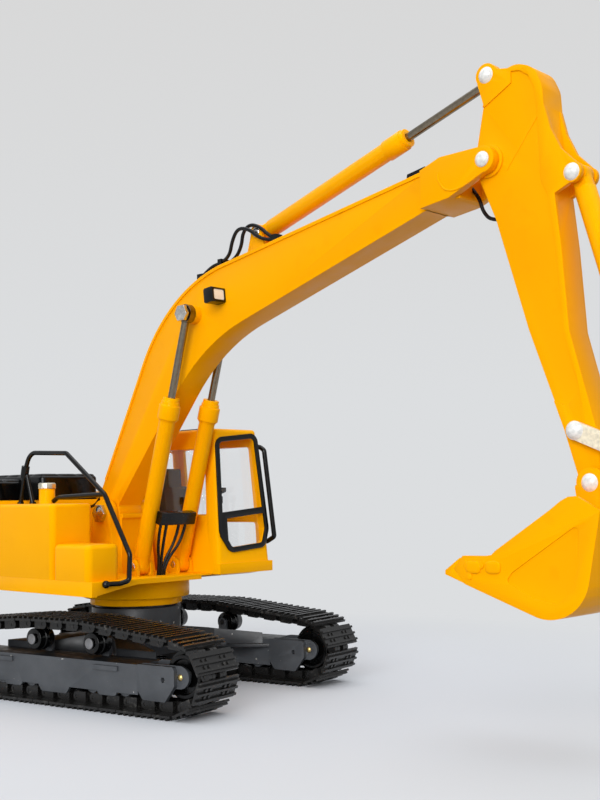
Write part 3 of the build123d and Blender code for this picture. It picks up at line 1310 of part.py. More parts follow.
feed_route = [
    (-20.5, -1.5, 47.4), (-17.6, -1.5, 47.6), (-14.6, -1.5, 49.2), (-12.4, -1.5, 52.4),
    (-10.4, -1.5, 55.9), (-8.3, -1.5, 58.9), (-5.6, -1.5, 60.6),
]
boom_feed_hose = hose(feed_route, hose_diameter, "boom feed hose", [engine_housing, boom])
finish_group([boom_feed_hose], "boom_feed_hose")

top_routes = (
    [
        (29.6, -0.4, 105.6), (33.4, -0.4, 107.4), (37.4, -0.4, 108.1), (41.6, -1.0, 108.9), (45.0, -2.2, 111.2),
        (46.8, -3.4, 114.2), (49.8, -3.9, 115.6), (53.2, -3.8, 114.4), (55.6, -3.0, 111.8), (57.6, -2.2, 111.0),
    ],
    [
        (29.6, -1.8, 105.6), (33.4, -1.9, 107.9), (37.4, -1.8, 108.3), (41.2, -2.6, 109.6), (43.6, -4.0, 112.6),
        (46.6, -4.9, 115.0), (50.4, -4.9, 114.2), (53.0, -4.2, 111.8), (55.8, -3.2, 110.8), (57.6, -3.2, 110.9),
    ],
)
boom_hoses = [hose(route, boom_hose_diameter, "boom hose") for route in top_routes]
finish_group(boom_hoses, "boom_hoses")

clip_places = (
    (28.8, 30.8, -2.6, 0.4, 103.0, 106.5),
    (36.6, 38.0, -2.6, 0.4, 105.0, 109.2),
    (56.6, 58.4, -3.7, -1.5, 108.0, 111.9),
)

with BuildPart() as hose_clips:
    for low_x, high_x, low_y, high_y, low_z, high_z in clip_places:
        block((low_x, high_x), (low_y, high_y), (low_z, high_z))
    slab(side_plane(1.6), boom_block_outline, 3.2)
    add(boom.part, mode=Mode.SUBTRACT)
    for tube in boom_hoses:
        add(tube, mode=Mode.SUBTRACT)
finish_group(hose_clips.part.solids().sort_by(Axis.X), "hose_clips")

arm_hose_route = [(111.4, 0.9, 113.0), (113.2, 0.9, 110.8), (114.0, 0.9, 107.6), (116.2, 0.9, 105.3), (119.8, 0.9, 105.2)]
arm_hose = hose(arm_hose_route, hose_diameter, "arm hose", [boom, arm])
finish_group([arm_hose], "arm_hose")
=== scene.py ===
# %% [markdown]
# # A display excavator, dressed for its portrait
# The solid model of a 1:50 tracked excavator comes packed as a fixed frame: every piece
# already has its true place and size. This notebook gives each piece the finish and the
# small rounded edges that a die-cast and moulded model has. We start by loading the frame.

import bpy
import bmesh
import math
import numpy as np
from mathutils import Matrix, Vector


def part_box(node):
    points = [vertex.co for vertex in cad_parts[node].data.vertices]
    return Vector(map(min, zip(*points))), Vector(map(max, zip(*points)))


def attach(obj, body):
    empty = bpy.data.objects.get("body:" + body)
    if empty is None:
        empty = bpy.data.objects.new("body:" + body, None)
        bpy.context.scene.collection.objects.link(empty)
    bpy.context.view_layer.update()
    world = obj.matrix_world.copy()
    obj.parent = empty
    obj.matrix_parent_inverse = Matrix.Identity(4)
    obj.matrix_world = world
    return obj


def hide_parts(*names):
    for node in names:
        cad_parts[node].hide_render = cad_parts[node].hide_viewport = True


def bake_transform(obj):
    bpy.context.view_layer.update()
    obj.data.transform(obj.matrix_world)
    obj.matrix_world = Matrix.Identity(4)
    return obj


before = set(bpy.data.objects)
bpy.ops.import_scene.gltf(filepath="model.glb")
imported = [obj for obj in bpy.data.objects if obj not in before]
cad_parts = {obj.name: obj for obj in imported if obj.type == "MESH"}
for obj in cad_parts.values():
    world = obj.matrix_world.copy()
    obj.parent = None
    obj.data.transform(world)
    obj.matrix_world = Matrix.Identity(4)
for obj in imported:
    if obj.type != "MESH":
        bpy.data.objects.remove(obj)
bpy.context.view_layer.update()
mm = 0.001

# %% [markdown]
# ## Where we stand
# The model is looked at from low down and in front of its right track, a little to the
# right of the boom. A longish lens keeps the boom's great arc free of distortion. We could
# place the camera by hand, but a lookout given as a position and three directions can be
# written down exactly. The frame is upright, so the sensor's 36 mm lie along its height.

# %% Camera
def add_camera():
    """A camera from its position, its heading and pitch, and a small roll about its axis."""
    heading, pitch, roll = map(math.radians, (133.876, 4.03, -0.89))
    reach = math.cos(pitch)
    ahead = Vector((reach * math.cos(heading), reach * math.sin(heading), math.sin(pitch)))
    level = ahead.cross(Vector((0, 0, 1))).normalized()
    above = level.cross(ahead)
    across = math.cos(roll) * level + math.sin(roll) * above
    upward = -math.sin(roll) * level + math.cos(roll) * above
    data = bpy.data.cameras.new("lookout")
    data.sensor_fit = "AUTO"
    data.sensor_width = 36
    data.lens = 51.63525
    data.shift_x, data.shift_y = 0.0044625, 0.0162125
    data.clip_start, data.clip_end = 0.01, 20
    camera = bpy.data.objects.new("lookout", data)
    turn = Matrix((across, upward, -ahead)).transposed().to_4x4()
    camera.matrix_world = Matrix.Translation((0.24710, -0.19385, 0.05037)) @ turn
    bpy.context.scene.collection.objects.link(camera)
    bpy.context.scene.camera = camera
    return camera


lookout = add_camera()
print("camera stands at", [round(c, 4) for c in lookout.location])
print("with a lens of", round(lookout.data.lens, 1), "mm")

# %% [markdown]
# ## A language for surfaces
# Every finish below is built from the same few ideas: a base colour, a second colour that
# drifts through it at the size of the real blemishes, a roughness that varies with it, and
# a very fine bump. Writing that network once, with plain arguments, keeps each finish
# readable. Patterns read Object coordinates, which are metres here, so a blemish of half a
# millimetre is a noise with a scale of two thousand.

# %% Material helper
def srgb(red, green, blue):
    """A colour given in the 0 to 255 of a colour picker, as the linear light a shader wants."""
    channel = np.array([red, green, blue]) / 255
    linear = np.where(channel <= 0.04045, channel / 12.92, ((channel + 0.055) / 1.055) ** 2.4)
    return (*map(float, linear), 1.0)


class Finish:
    """A Principled material with short ways to add nodes and wires."""

    def __init__(self, name, **sockets):
        self.material = bpy.data.materials.new(name)
        self.material.use_nodes = True
        self.tree = self.material.node_tree
        self.shader = self.tree.nodes["Principled BSDF"]
        for socket, value in sockets.items():
            self.shader.inputs[socket.replace("_", " ")].default_value = value
        self.place = self.node("ShaderNodeTexCoord").outputs["Object"]

    def node(self, kind, inputs=(), **settings):
        made = self.tree.nodes.new(kind)
        for key, value in settings.items():
            setattr(made, key, value)
        for key, value in dict(inputs).items():
            if hasattr(value, "is_output"):
                self.tree.links.new(value, made.inputs[key])
            else:
                made.inputs[key].default_value = value
        return made

    def noise(self, size_mm, detail=3.0, offset=(0, 0, 0)):
        """Cloudy noise whose blotches are about size_mm across."""
        spread = self.node("ShaderNodeMapping", {"Vector": self.place, "Location": offset})
        settings = {"Vector": spread.outputs[0], "Scale": 1000 / size_mm, "Detail": detail, "Roughness": 0.55}
        cloud = self.node("ShaderNodeTexNoise", settings)
        return cloud.outputs["Fac"]

    def ramp(self, factor, low, high, value_low=0.0, value_high=1.0):
        """A straight climb from value_low to value_high as factor goes from low to high."""
        span = {"Value": factor, "From Min": low, "From Max": high, "To Min": value_low, "To Max": value_high}
        climb = self.node("ShaderNodeMapRange", span)
        return climb.outputs["Result"]

    def mix(self, factor, first, second):
        """Two colours, blended by a factor."""
        blend = self.node("ShaderNodeMix", {0: factor, 6: first, 7: second}, data_type="RGBA")
        return blend.outputs[2]

    def maths(self, operation, *values):
        return self.node("ShaderNodeMath", dict(enumerate(values)), operation=operation).outputs[0]

    def wire(self, output, socket):
        self.tree.links.new(output, self.shader.inputs[socket])

    def bump(self, height, strength, depth_mm):
        """Relief from a height between 0 and 1, depth_mm deep at full strength."""
        inputs = {"Height": height, "Strength": strength, "Distance": depth_mm / 1000}
        relief = self.node("ShaderNodeBump", inputs)
        self.wire(relief.outputs[0], "Normal")


print("finish helper ready")

# %% [markdown]
# ## Enamel on zinc
# The castings wear a thick yellow enamel. It is even, but not dead even: the coat pools a
# little, dust specks sit in it, and it has the faint orange peel of sprayed paint under a
# clear gloss. The moulded rams are the same colour in plastic, slightly deeper and softer.

# %% Yellow finishes
def enamel(name, colour, deeper, roughness, shine):
    """Sprayed enamel: a colour drifting between two close tones, fine orange peel and a weak shine."""
    paint = Finish(name, Roughness=roughness, Specular_IOR_Level=shine,
                   Coat_Weight=0.03, Coat_Roughness=0.1, IOR=1.5)
    paint.shader.inputs["Specular Tint"].default_value = srgb(255, 196, 40)
    drift = paint.noise(26, 2.0)
    tone = paint.mix(paint.ramp(drift, 0.35, 0.68), srgb(*colour), srgb(*deeper))
    pooled = paint.ramp(paint.noise(4.5, 3.0, offset=(0.3, 0.1, 0)), 0.58, 0.74, 0.0, 0.35)
    paint.wire(paint.mix(pooled, tone, srgb(246, 160, 0)), "Base Color")
    grain = paint.noise(5, 4.0)
    paint.wire(paint.ramp(grain, 0.3, 0.7, roughness - 0.05, roughness + 0.09), "Roughness")
    paint.bump(paint.noise(0.9, 2.0), 0.16, 0.02)
    return paint.material


body_enamel = enamel("body_enamel", (252, 171, 0), (250, 166, 0), 0.36, 0.1)
deck_enamel = enamel("deck_enamel", (253, 177, 0), (250, 172, 0), 0.32, 0.12)
ram_plastic = enamel("ram_plastic", (255, 178, 0), (255, 172, 0), 0.32, 0.14)
ram_shader = ram_plastic.node_tree.nodes["Principled BSDF"]
ram_shader.inputs["Subsurface Weight"].default_value = 0.12
ram_shader.inputs["Subsurface Radius"].default_value = (0.0012, 0.0006, 0.0001)
print("yellow finishes:", body_enamel.name, deck_enamel.name, ram_plastic.name)

# %% [markdown]
# ## Blacks and greys
# The chains, the hood, the rails and the hoses are black plastic, but no two blacks on a
# model are alike. The chains are paler in small patches, partly rubbed by handling and partly
# a painted highlight, and dust settles in wider blotches. The track frames are grey enamel
# with small bright chips and a painted shade where they face up, and the carbody and final
# drives wear a darker copy of that grey as painted shade.

# %% Dark finishes
def moulded_black(name, colour, wear_and_highlight_colour, roughness, wear_and_highlight_strength, mirror=0.34):
    """Black plastic: a little dust in blotches, and a paler tone where a fine noise peaks, partly wear and
    partly a painted highlight.
    """
    plastic = Finish(name, Roughness=roughness, IOR=1.46, Specular_IOR_Level=mirror)
    dusty = plastic.ramp(plastic.noise(7, 4.0), 0.45, 0.75)
    # The pale patches are partly rubbed wear and partly a painted highlight.
    wear_and_highlight_mask = plastic.ramp(plastic.noise(1.6, 4.0, offset=(0.2, 0, 0)), 0.60, 0.78, 0.0, wear_and_highlight_strength)
    tone = plastic.mix(dusty, srgb(*colour), srgb(*[c + 4 for c in colour]))
    plastic.wire(plastic.mix(wear_and_highlight_mask, tone, srgb(*wear_and_highlight_colour)), "Base Color")
    uneven = plastic.ramp(plastic.noise(2.6, 3.0), 0.3, 0.7, roughness - 0.05, roughness + 0.08)
    plastic.wire(uneven, "Roughness")
    plastic.bump(plastic.noise(0.6, 2.0), 0.15, 0.015)
    return plastic.material


def chipped_grey(name, colour, lighter):
    """Grey enamel with a metallic cast, mottled, with small pale chips, and a painted shade where it faces
    up.
    """
    paint = Finish(name, Roughness=0.4, Metallic=0.15, IOR=1.5)
    tone = paint.mix(paint.ramp(paint.noise(9, 4.0), 0.35, 0.7), srgb(*colour), srgb(*lighter))
    normal = paint.node("ShaderNodeNewGeometry").outputs["Normal"]
    up_facing_for_painted_shade = paint.node("ShaderNodeSeparateXYZ", {0: normal}).outputs["Z"]
    # Painted shade: faces that turn upwards are darkened almost to black, standing for the shadow under the
    # tracks' upper run.
    tone = paint.mix(paint.ramp(up_facing_for_painted_shade, 0.5, 0.85), tone, srgb(24, 25, 27))
    chips = paint.ramp(paint.noise(1.3, 5.0, offset=(0, 0.4, 0)), 0.71, 0.73)
    paint.wire(paint.mix(chips, tone, srgb(186, 184, 178)), "Base Color")
    paint.wire(paint.ramp(paint.noise(3, 3.0), 0.3, 0.7, 0.33, 0.5), "Roughness")
    paint.bump(paint.noise(0.6, 2.0), 0.3, 0.02)
    return paint.material


# The chains' pale patches are partly wear and partly a painted highlight.
chain_black = moulded_black("chain_black", (24, 23, 22), (96, 94, 90), 0.28, 0.6, mirror=0.5)
gloss_black = moulded_black("gloss_black", (4, 4, 4), (20, 20, 21), 0.17, 0.12)
hose_black = moulded_black("hose_black", (4, 4, 4), (24, 24, 24), 0.26, 0.15)
frame_grey = chipped_grey("frame_grey", (66, 69, 73), (80, 83, 87))
# A darker copy of the frame grey, painted shade for the carbody and final drives, which sit in shadow under
# the tracks and the deck.
painted_shade_grey = chipped_grey("painted_shade_grey", (36, 38, 41), (48, 50, 53))
dark_finishes = (chain_black, gloss_black, hose_black, frame_grey, painted_shade_grey)
print("dark finishes:", [finish.name for finish in dark_finishes])

# %% [markdown]
# ## Bare metal, glass and the rest
# Rods are bare steel, clouded by handling, and rivets are bright and slightly pitted. The
# windows are clear plastic: a mix of glass and plain see-through
# keeps the cab bright inside without the dark rims that a solid glass block would give.

# %% Metal, glass and interior finishes
def metal(name, colour, roughness, unevenness):
    """Bare metal whose colour and shine vary in small clouds."""
    bare = Finish(name, Metallic=1.0, Roughness=roughness)
    clouds = bare.noise(0.8, 4.0)
    duller = srgb(*[int(c * 0.86) for c in colour])
    bare.wire(bare.mix(bare.ramp(clouds, 0.35, 0.7), srgb(*colour), duller), "Base Color")
    bare.wire(bare.ramp(clouds, 0.3, 0.7, roughness - unevenness, roughness + unevenness), "Roughness")
    bare.bump(clouds, 0.2, 0.01)
    return bare.material


def two_metals(name, low_colour, high_colour, height_mm):
    """Bare metal of one colour below a height and of another above it."""
    bare = Finish(name, Metallic=1.0, Roughness=0.3)
    height = bare.node("ShaderNodeSeparateXYZ", {0: bare.place}).outputs["Z"]
    above = bare.ramp(height, (height_mm - 0.2) * mm, (height_mm + 0.2) * mm)
    clouds = bare.noise(0.8, 4.0)
    tone = bare.mix(above, srgb(*low_colour), srgb(*high_colour))
    shade = bare.mix(bare.ramp(clouds, 0.35, 0.75, 0.0, 0.3), tone, srgb(120, 112, 96))
    bare.wire(shade, "Base Color")
    bare.bump(clouds, 0.2, 0.01)
    return bare.material


def milky_lens(name):
    """A frosted lens: pale, with fine ribs across it."""
    lens = Finish(name, Roughness=0.35, IOR=1.45)
    waves = {"Vector": lens.place, "Scale": 450.0, "Distortion": 0.4}
    ribs = lens.node("ShaderNodeTexWave", waves).outputs["Fac"]
    lens.wire(lens.mix(ribs, srgb(236, 236, 226), srgb(218, 218, 208)), "Base Color")
    lens.bump(ribs, 0.3, 0.03)
    return lens.material


def painted_rivet(name, colour):
    """A rivet head in bright lacquer, with slight pits."""
    lacquer = Finish(name, Roughness=0.3, Coat_Weight=0.3)
    mottled = lacquer.ramp(lacquer.noise(0.7, 3.0), 0.35, 0.7)
    lacquer.wire(lacquer.mix(mottled, srgb(*colour), srgb(*[int(c * 0.88) for c in colour])), "Base Color")
    lacquer.bump(lacquer.noise(0.4, 2.0), 0.25, 0.02)
    return lacquer.material


def clear_plastic(name):
    """See-through with a glassy skin: mostly transparent, with glossy reflection by Fresnel."""
    pane = Finish(name, Roughness=0.03, Transmission_Weight=1.0, IOR=1.35, Alpha=0.06)
    cloudy = pane.ramp(pane.noise(8, 2.0), 0.4, 0.6)
    pane.wire(pane.mix(cloudy, (0.93, 0.96, 0.96, 1), (0.97, 0.98, 0.98, 1)), "Base Color")
    return pane.material


def cushion_brown(name):
    """Dark brown moulded upholstery with a leathery grain."""
    vinyl = Finish(name, Roughness=0.6)
    vinyl.wire(vinyl.mix(vinyl.noise(1.5, 4.0), srgb(46, 40, 32), srgb(34, 30, 25)), "Base Color")
    vinyl.bump(vinyl.noise(0.4, 3.0), 0.5, 0.05)
    return vinyl.material


rod_steel = metal("rod_steel", (138, 127, 110), 0.2, 0.07)
rivet_chrome = metal("rivet_chrome", (214, 212, 208), 0.2, 0.08)
cap_pewter = metal("cap_pewter", (236, 228, 208), 0.34, 0.06)
axle_metal = two_metals("axle_metal", (206, 178, 112), (150, 150, 152), 12.0)
lamp_milk = milky_lens("lamp_milk")
rivet_white = painted_rivet("rivet_white", (236, 236, 232))
link_cream = painted_rivet("link_cream", (243, 232, 205))
window_clear = clear_plastic("window_clear")
seat_brown = cushion_brown("seat_brown")
print("metal, glass and interior finishes ready")

# %% [markdown]
# ## Dressing the solids
# Each solid takes its finish by name. The frame comes as loose triangles, so a short stack of
# modifiers makes it whole: Weld joins the corners, Decimate dissolves the flat faces back
# into one face each, and Bevel rounds the edges that turn sharply. A real casting has no
# sharp edge, and those thin rounds are what catch the light.

# %% Finish and soften the solids
def soften(node, round_mm, segments=2, sharp_deg=32):
    """Weld, flatten, round and shade one solid, without touching its own mesh."""
    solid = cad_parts[node]
    weld = solid.modifiers.new("join_corners", "WELD")
    weld.merge_threshold = 2e-6
    flat = solid.modifiers.new("whole_faces", "DECIMATE")
    flat.decimate_type = "DISSOLVE"
    flat.angle_limit = math.radians(0.6)
    edge = solid.modifiers.new("rounded_edges", "BEVEL")
    edge.width = round_mm * mm
    edge.segments = segments
    edge.limit_method = "ANGLE"
    edge.angle_limit = math.radians(sharp_deg)
    edge.use_clamp_overlap = True
    edge.harden_normals = True
    edge.miter_outer = "MITER_ARC"
    solid.data.shade_smooth()


finishes = {
    body_enamel: ["boom", "arm", "push_link", "bucket", "bucket_teeth"],
    deck_enamel: ["slewing_ring", "revolving_frame", "fuel_tank", "tool_box", "engine_housing",
                  "left_housing", "counterweight", "cab_shell"],
    ram_plastic: ["boom_ram_barrels", "arm_ram_barrel", "bucket_ram_barrel"],
    rod_steel: ["boom_ram_rods", "arm_ram_rod", "bucket_ram_rod"],
    chain_black: ["track_shoes_right", "track_shoes_left", "track_pins"],
    frame_grey: ["track_frame_right", "track_frame_left"],
    # The carbody and final drives wear the darker grey as painted shade.
    painted_shade_grey: ["carbody", "final_drives"],
    gloss_black: ["engine_hood", "handrail", "cab_grab_bar", "windscreen_trim", "roof_hatch",
                  "work_lamp", "control_levers", "slewing_washer",
                  "idler_right", "idler_left", "sprocket_right", "sprocket_left",
                  "carrier_roller_front_right", "carrier_roller_front_left",
                  "carrier_roller_rear_right", "carrier_roller_rear_left"],
    hose_black: ["boom_feed_hose", "manifold_hoses", "arm_hose", "boom_hoses", "hose_clips", "hose_manifold"],
    rivet_chrome: ["foot_pins", "boom_pins", "slewing_screw"],
    cap_pewter: ["filler_cap"],
    axle_metal: ["wheel_axles"],
    lamp_milk: ["lamp_lens"],
    rivet_white: ["arm_pins", "tipping_pin", "bucket_ear_pin"],
    link_cream: ["tipping_links"],
    window_clear: ["cab_glass"],
    seat_brown: ["seat"],
}
for finish, names in finishes.items():
    for name in names:
        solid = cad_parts[name]
        solid.data.materials.clear()
        solid.data.materials.append(finish)


def lacquer_far_heads(node, beyond_mm, finish):
    """The heads of one node that lie forward of a distance wear a second finish."""
    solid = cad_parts[node].data
    solid.materials.append(finish)
    middles = np.empty(3 * len(solid.polygons))
    solid.polygons.foreach_get("center", middles)
    forward = middles.reshape(-1, 3)[:, 0] > beyond_mm * mm
    solid.polygons.foreach_set("material_index", forward.astype(np.int32))


lacquer_far_heads("boom_pins", 90, rivet_white)
print("finished", sum(map(len, finishes.values())), "solids of", len(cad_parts))

edge_rounds = {
    0.35: ["revolving_frame", "counterweight", "slewing_ring", "seat"],
    0.3: ["boom", "arm", "fuel_tank", "tool_box", "engine_housing", "left_housing", "cab_shell", "carbody"],
    0.25: ["bucket", "bucket_teeth", "track_frame_right", "track_frame_left", "work_lamp",
           "push_link", "tipping_links",
           "boom_ram_barrels", "arm_ram_barrel", "bucket_ram_barrel", "hose_manifold"],
    0.15: ["final_drives", "roof_hatch", "control_levers", "filler_cap", "windscreen_trim",
           "idler_right", "idler_left",
           "carrier_roller_front_right", "carrier_roller_front_left",
           "carrier_roller_rear_right", "carrier_roller_rear_left",
           "foot_pins", "boom_pins"],
}
for width, names in edge_rounds.items():
    for name in names:
        soften(name, width)
print("edges rounded on", sum(map(len, edge_rounds.values())), "solids")

# %% [markdown]
# ## Putting a computed surface into the model
# A surface that is a function of two parameters is a table of points: one row of the table
# for each step of the first parameter. Neighbouring rows and columns join into quads, all at
# once, with numpy. Rows can close into rings, as on a tube, and the two ends can be capped.
# Every new piece then rides on the body that carries it, and names the finish it wears.

# %% Surface helpers
def grid_faces(rows, columns, ring=True, first=0):
    """Quads between neighbours of a rows by columns table, whose rows may close into rings."""
    last = columns if ring else columns - 1
    row, column = np.meshgrid(np.arange(rows - 1), np.arange(last), indexing="ij")
    after = (column + 1) % columns
    corners = [row * columns + column, row * columns + after,
               (row + 1) * columns + after, (row + 1) * columns + column]
    return (np.stack(corners, -1).reshape(-1, 4) + first).tolist()


def capped_tube(table, first=0):
    """The faces of a closed tube: rings of quads, and one face at each end."""
    rows, columns = table.shape[:2]
    faces = grid_faces(rows, columns, True, first)
    start = list(range(first, first + columns))[::-1]
    end = list(range(first + (rows - 1) * columns, first + rows * columns))
    return faces + [start, end]


def add_piece(name, points, faces, finish, body, stands_for=(), smooth_deg=40):
    """A mesh from points in millimetres, facing outwards, riding on a body."""
    mesh = bpy.data.meshes.new(name)
    mesh.from_pydata((np.asarray(points).reshape(-1, 3) * mm).tolist(), [], faces)
    shell = bmesh.new()
    shell.from_mesh(mesh)
    bmesh.ops.remove_doubles(shell, verts=shell.verts, dist=2e-7)
    bmesh.ops.recalc_face_normals(shell, faces=shell.faces)
    shell.to_mesh(mesh)
    shell.free()
    mesh.polygons.foreach_set("use_smooth", np.ones(len(mesh.polygons), bool))
    mesh.set_sharp_from_angle(angle=math.radians(smooth_deg))
    mesh.materials.append(finish)
    piece = bpy.data.objects.new(name, mesh)
    bpy.context.scene.collection.objects.link(piece)
    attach(piece, body)
    if stands_for:
        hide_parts(*stands_for)
    return piece


def corners_of(node):
    """A node's lowest and highest corner, in millimetres."""
    low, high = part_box(node)
    return np.array(low) / mm, np.array(high) / mm


print("surface helpers ready")

# %% [markdown]
# ## The quilted engine hood
# The hood is one black moulding whose top is divided into soft square cells, like a quilt.
# A height map would blur the walls, so the hood is made in two parts instead. The walls are
# a rounded rectangle carried up a profile that turns in at the top. Each cell is a
# superellipsoid, a ball squared off until it is a pillow, and sits half sunk in the top.

# %% Hood
def rounded_rectangle(low, high, radius, steps=6):
    """Points round a rectangle with quarter-circle corners, anticlockwise."""
    quarter = np.linspace(0, math.pi / 2, steps + 1)
    centres = [(high[0] - radius, high[1] - radius), (low[0] + radius, high[1] - radius),
               (low[0] + radius, low[1] + radius), (high[0] - radius, low[1] + radius)]
    arcs = [np.stack([cx + radius * np.cos(quarter + k * math.pi / 2),
                      cy + radius * np.sin(quarter + k * math.pi / 2)], 1)
            for k, (cx, cy) in enumerate(centres)]
    return np.concatenate(arcs)


def walled_block(low, high, corner, edge, steps=5):
    """A rounded rectangle carried straight up, then inwards along a quarter circle of radius edge."""
    turn = np.linspace(0, math.pi / 2, steps + 1)
    insets = np.concatenate([[0.0], edge * (1 - np.cos(turn))])
    heights = np.concatenate([[low[2]], high[2] - edge + edge * np.sin(turn)])
    rings = []
    for inset, height in zip(insets, heights):
        outline = rounded_rectangle((low[0] + inset, low[1] + inset), (high[0] - inset, high[1] - inset),
                                    max(corner - inset, 0.12))
        rings.append(np.column_stack([outline, np.full(len(outline), height)]))
    return np.array(rings)


def pillows(centres, half_size, rise, squareness=0.32, rows=9, columns=20):
    """Superellipsoids: sines and cosines raised to a small power, which squares a ball off."""
    bend = lambda t: np.sign(t) * np.abs(t) ** squareness
    v, u = np.meshgrid(np.linspace(-math.pi / 2, math.pi / 2, rows),
                       np.linspace(0, 2 * math.pi, columns, endpoint=False), indexing="ij")
    crown = np.sign(np.sin(v)) * np.abs(np.sin(v)) ** 0.7
    unit = np.stack([bend(np.cos(v)) * bend(np.cos(u)), bend(np.cos(v)) * bend(np.sin(u)), crown], -1)
    return np.asarray(centres)[:, None, None, :] + unit * np.array([half_size[0], half_size[1], rise])


def make_hood():
    """Two walled blocks of different heights, with rows of pillows sunk in the top of each."""
    low, high = corners_of("engine_hood")
    split_y = -16.0
    step_x = corners_of("fuel_tank")[0][0] - 0.3
    top = high[2] - 0.55
    tiers = [((low[0], split_y - 0.4, low[2]), (high[0], high[1], top)),
             ((low[0], low[1], low[2]), (step_x, split_y + 2.0, top - 1.4))]
    points, faces, count = [], [], 0
    for tier_low, tier_high in tiers:
        walls = walled_block(tier_low, tier_high, 1.3, 0.9)
        faces += capped_tube(walls, count)
        points.append(walls.reshape(-1, 3))
        count += walls.shape[0] * walls.shape[1]
    for tier, (tier_low, tier_high) in enumerate(tiers):
        across = 3 if tier == 0 else 2
        along = round((tier_high[0] - tier_low[0]) / 5.9)
        margin = 0.8
        size = np.array([(tier_high[0] - tier_low[0] - margin) / along,
                         (tier_high[1] - tier_low[1] - margin) / across])
        x = tier_low[0] + margin / 2 + size[0] * (np.arange(along) + 0.5)
        y = tier_low[1] + margin / 2 + size[1] * (np.arange(across) + 0.5)
        level = np.full((along, across), tier_high[2] - 0.25)
        places = np.stack([*np.meshgrid(x, y, indexing="ij"), level], -1).reshape(-1, 3)
        cells = pillows(places, size / 2 * 0.985, 0.8)
        for cell in cells:
            faces += capped_tube(cell, count)
            points.append(cell.reshape(-1, 3))
            count += cell.shape[0] * cell.shape[1]
    points = np.concatenate(points)
    hood = add_piece("quilted_hood", points, faces, gloss_black,
                     "superstructure", ["engine_hood"])
    print("hood of", len(hood.data.polygons), "faces, top at", round(float(points[:, 2].max()), 2), "mm")


make_hood()

# %% [markdown]
# ## Cast-in detail
# Some of a casting's relief is finer than the solids carry. The boom's top plate stands a
# little proud of its side plates, so an outline of the boom's upper edge, a straight line, an
# arc and another straight line, is offset inwards and swept as a thin plate. Raised beads
# are half-sunk round cords that follow a line drawn on a side, on both sides alike.

# %% Top plate and beads
def rounded_corner(before, corner, after, radius, steps=40):
    """The tangent arc that rounds a corner: centred at radius / sin(half the corner's angle)."""
    before, corner, after = (np.array(p, float) for p in (before, corner, after))
    one = (before - corner) / np.linalg.norm(before - corner)
    two = (after - corner) / np.linalg.norm(after - corner)
    half = math.acos(float(one @ two)) / 2
    middle = corner + (one + two) / np.linalg.norm(one + two) * radius / math.sin(half)
    first, last = corner + one * radius / math.tan(half), corner + two * radius / math.tan(half)
    start, sweep = math.atan2(*(first - middle)[::-1]), math.pi - 2 * half
    sign = 1 if (first - middle)[0] * (last - middle)[1] > (first - middle)[1] * (last - middle)[0] else -1
    angle = start + sign * np.linspace(0, sweep, steps)
    return middle + radius * np.stack([np.cos(angle), np.sin(angle)], 1)


def make_top_plate(half_width=4.06, depth=0.85, lip=0.03):
    """A rectangle (y, n) swept along the boom's upper edge, n being measured along its normal."""
    arc = rounded_corner((-11.2, 50.5), (18.7, 104.0), (104.0, 117.9), 44.0)
    edge = np.concatenate([[(-8.6, 55.15)], arc, [(60.0, 110.73), (102.9, 117.72)]])
    along = np.gradient(edge, axis=0)
    normal = np.stack([-along[:, 1], along[:, 0]], 1) / np.linalg.norm(along, axis=1)[:, None]
    round_off = 0.14
    section = [(half_width, -depth), (half_width, lip - round_off), (half_width - round_off, lip),
               (-half_width + round_off, lip), (-half_width, lip - round_off), (-half_width, -depth)]
    rings = np.array([[(x + nx * n, y, z + nz * n) for y, n in section]
                      for (x, z), (nx, nz) in zip(edge, normal)])
    plate = add_piece("boom_top_plate", rings, capped_tube(rings), body_enamel,
                      "boom", smooth_deg=30)
    print("top plate of", len(plate.data.polygons), "faces")


def smooth_line(points, steps=8):
    """Catmull-Rom: each span is a cubic through its two points, sloped by their neighbours."""
    points = np.array(points, float)
    padded = np.concatenate([2 * points[:1] - points[1:2], points, 2 * points[-1:] - points[-2:-1]])
    t = np.linspace(0, 1, steps, endpoint=False)[:, None]
    spans = []
    for a, b, c, d in zip(padded, padded[1:], padded[2:], padded[3:]):
        spans.append(0.5 * (2 * b + (c - a) * t
                            + (2 * a - 5 * b + 4 * c - d) * t**2 + (3 * b - a - 3 * c + d) * t**3))
    return np.concatenate(spans + [points[-1:]])


def bead(line, y, radius):
    """A round cord of points (x, y, z) along a line of (x, z), lying in the plane at y."""
    ahead = np.gradient(line, axis=0)
    normal = np.stack([-ahead[:, 1], ahead[:, 0]], 1) / np.linalg.norm(ahead, axis=1)[:, None]
    turn = np.linspace(0, 2 * math.pi, 10, endpoint=False)
    swell = radius * np.cos(turn)[None, :, None] * normal[:, None, :]
    flat = line[:, None, :] + swell
    height = np.broadcast_to(y + radius * np.sin(turn), flat.shape[:2])
    return np.stack([flat[..., 0], height, flat[..., 1]], -1)


def add_beads(name, lines, side_y, radius, body):
    """One piece holding the beads of both sides."""
    points, faces, count = [], [], 0
    for line in lines:
        for y in (-side_y, side_y):
            table = bead(smooth_line(line), y, radius)
            faces += capped_tube(table, count)
            points.append(table.reshape(-1, 3))
            count += table.shape[0] * table.shape[1]
    add_piece(name, np.concatenate(points), faces, body_enamel, body, smooth_deg=60)


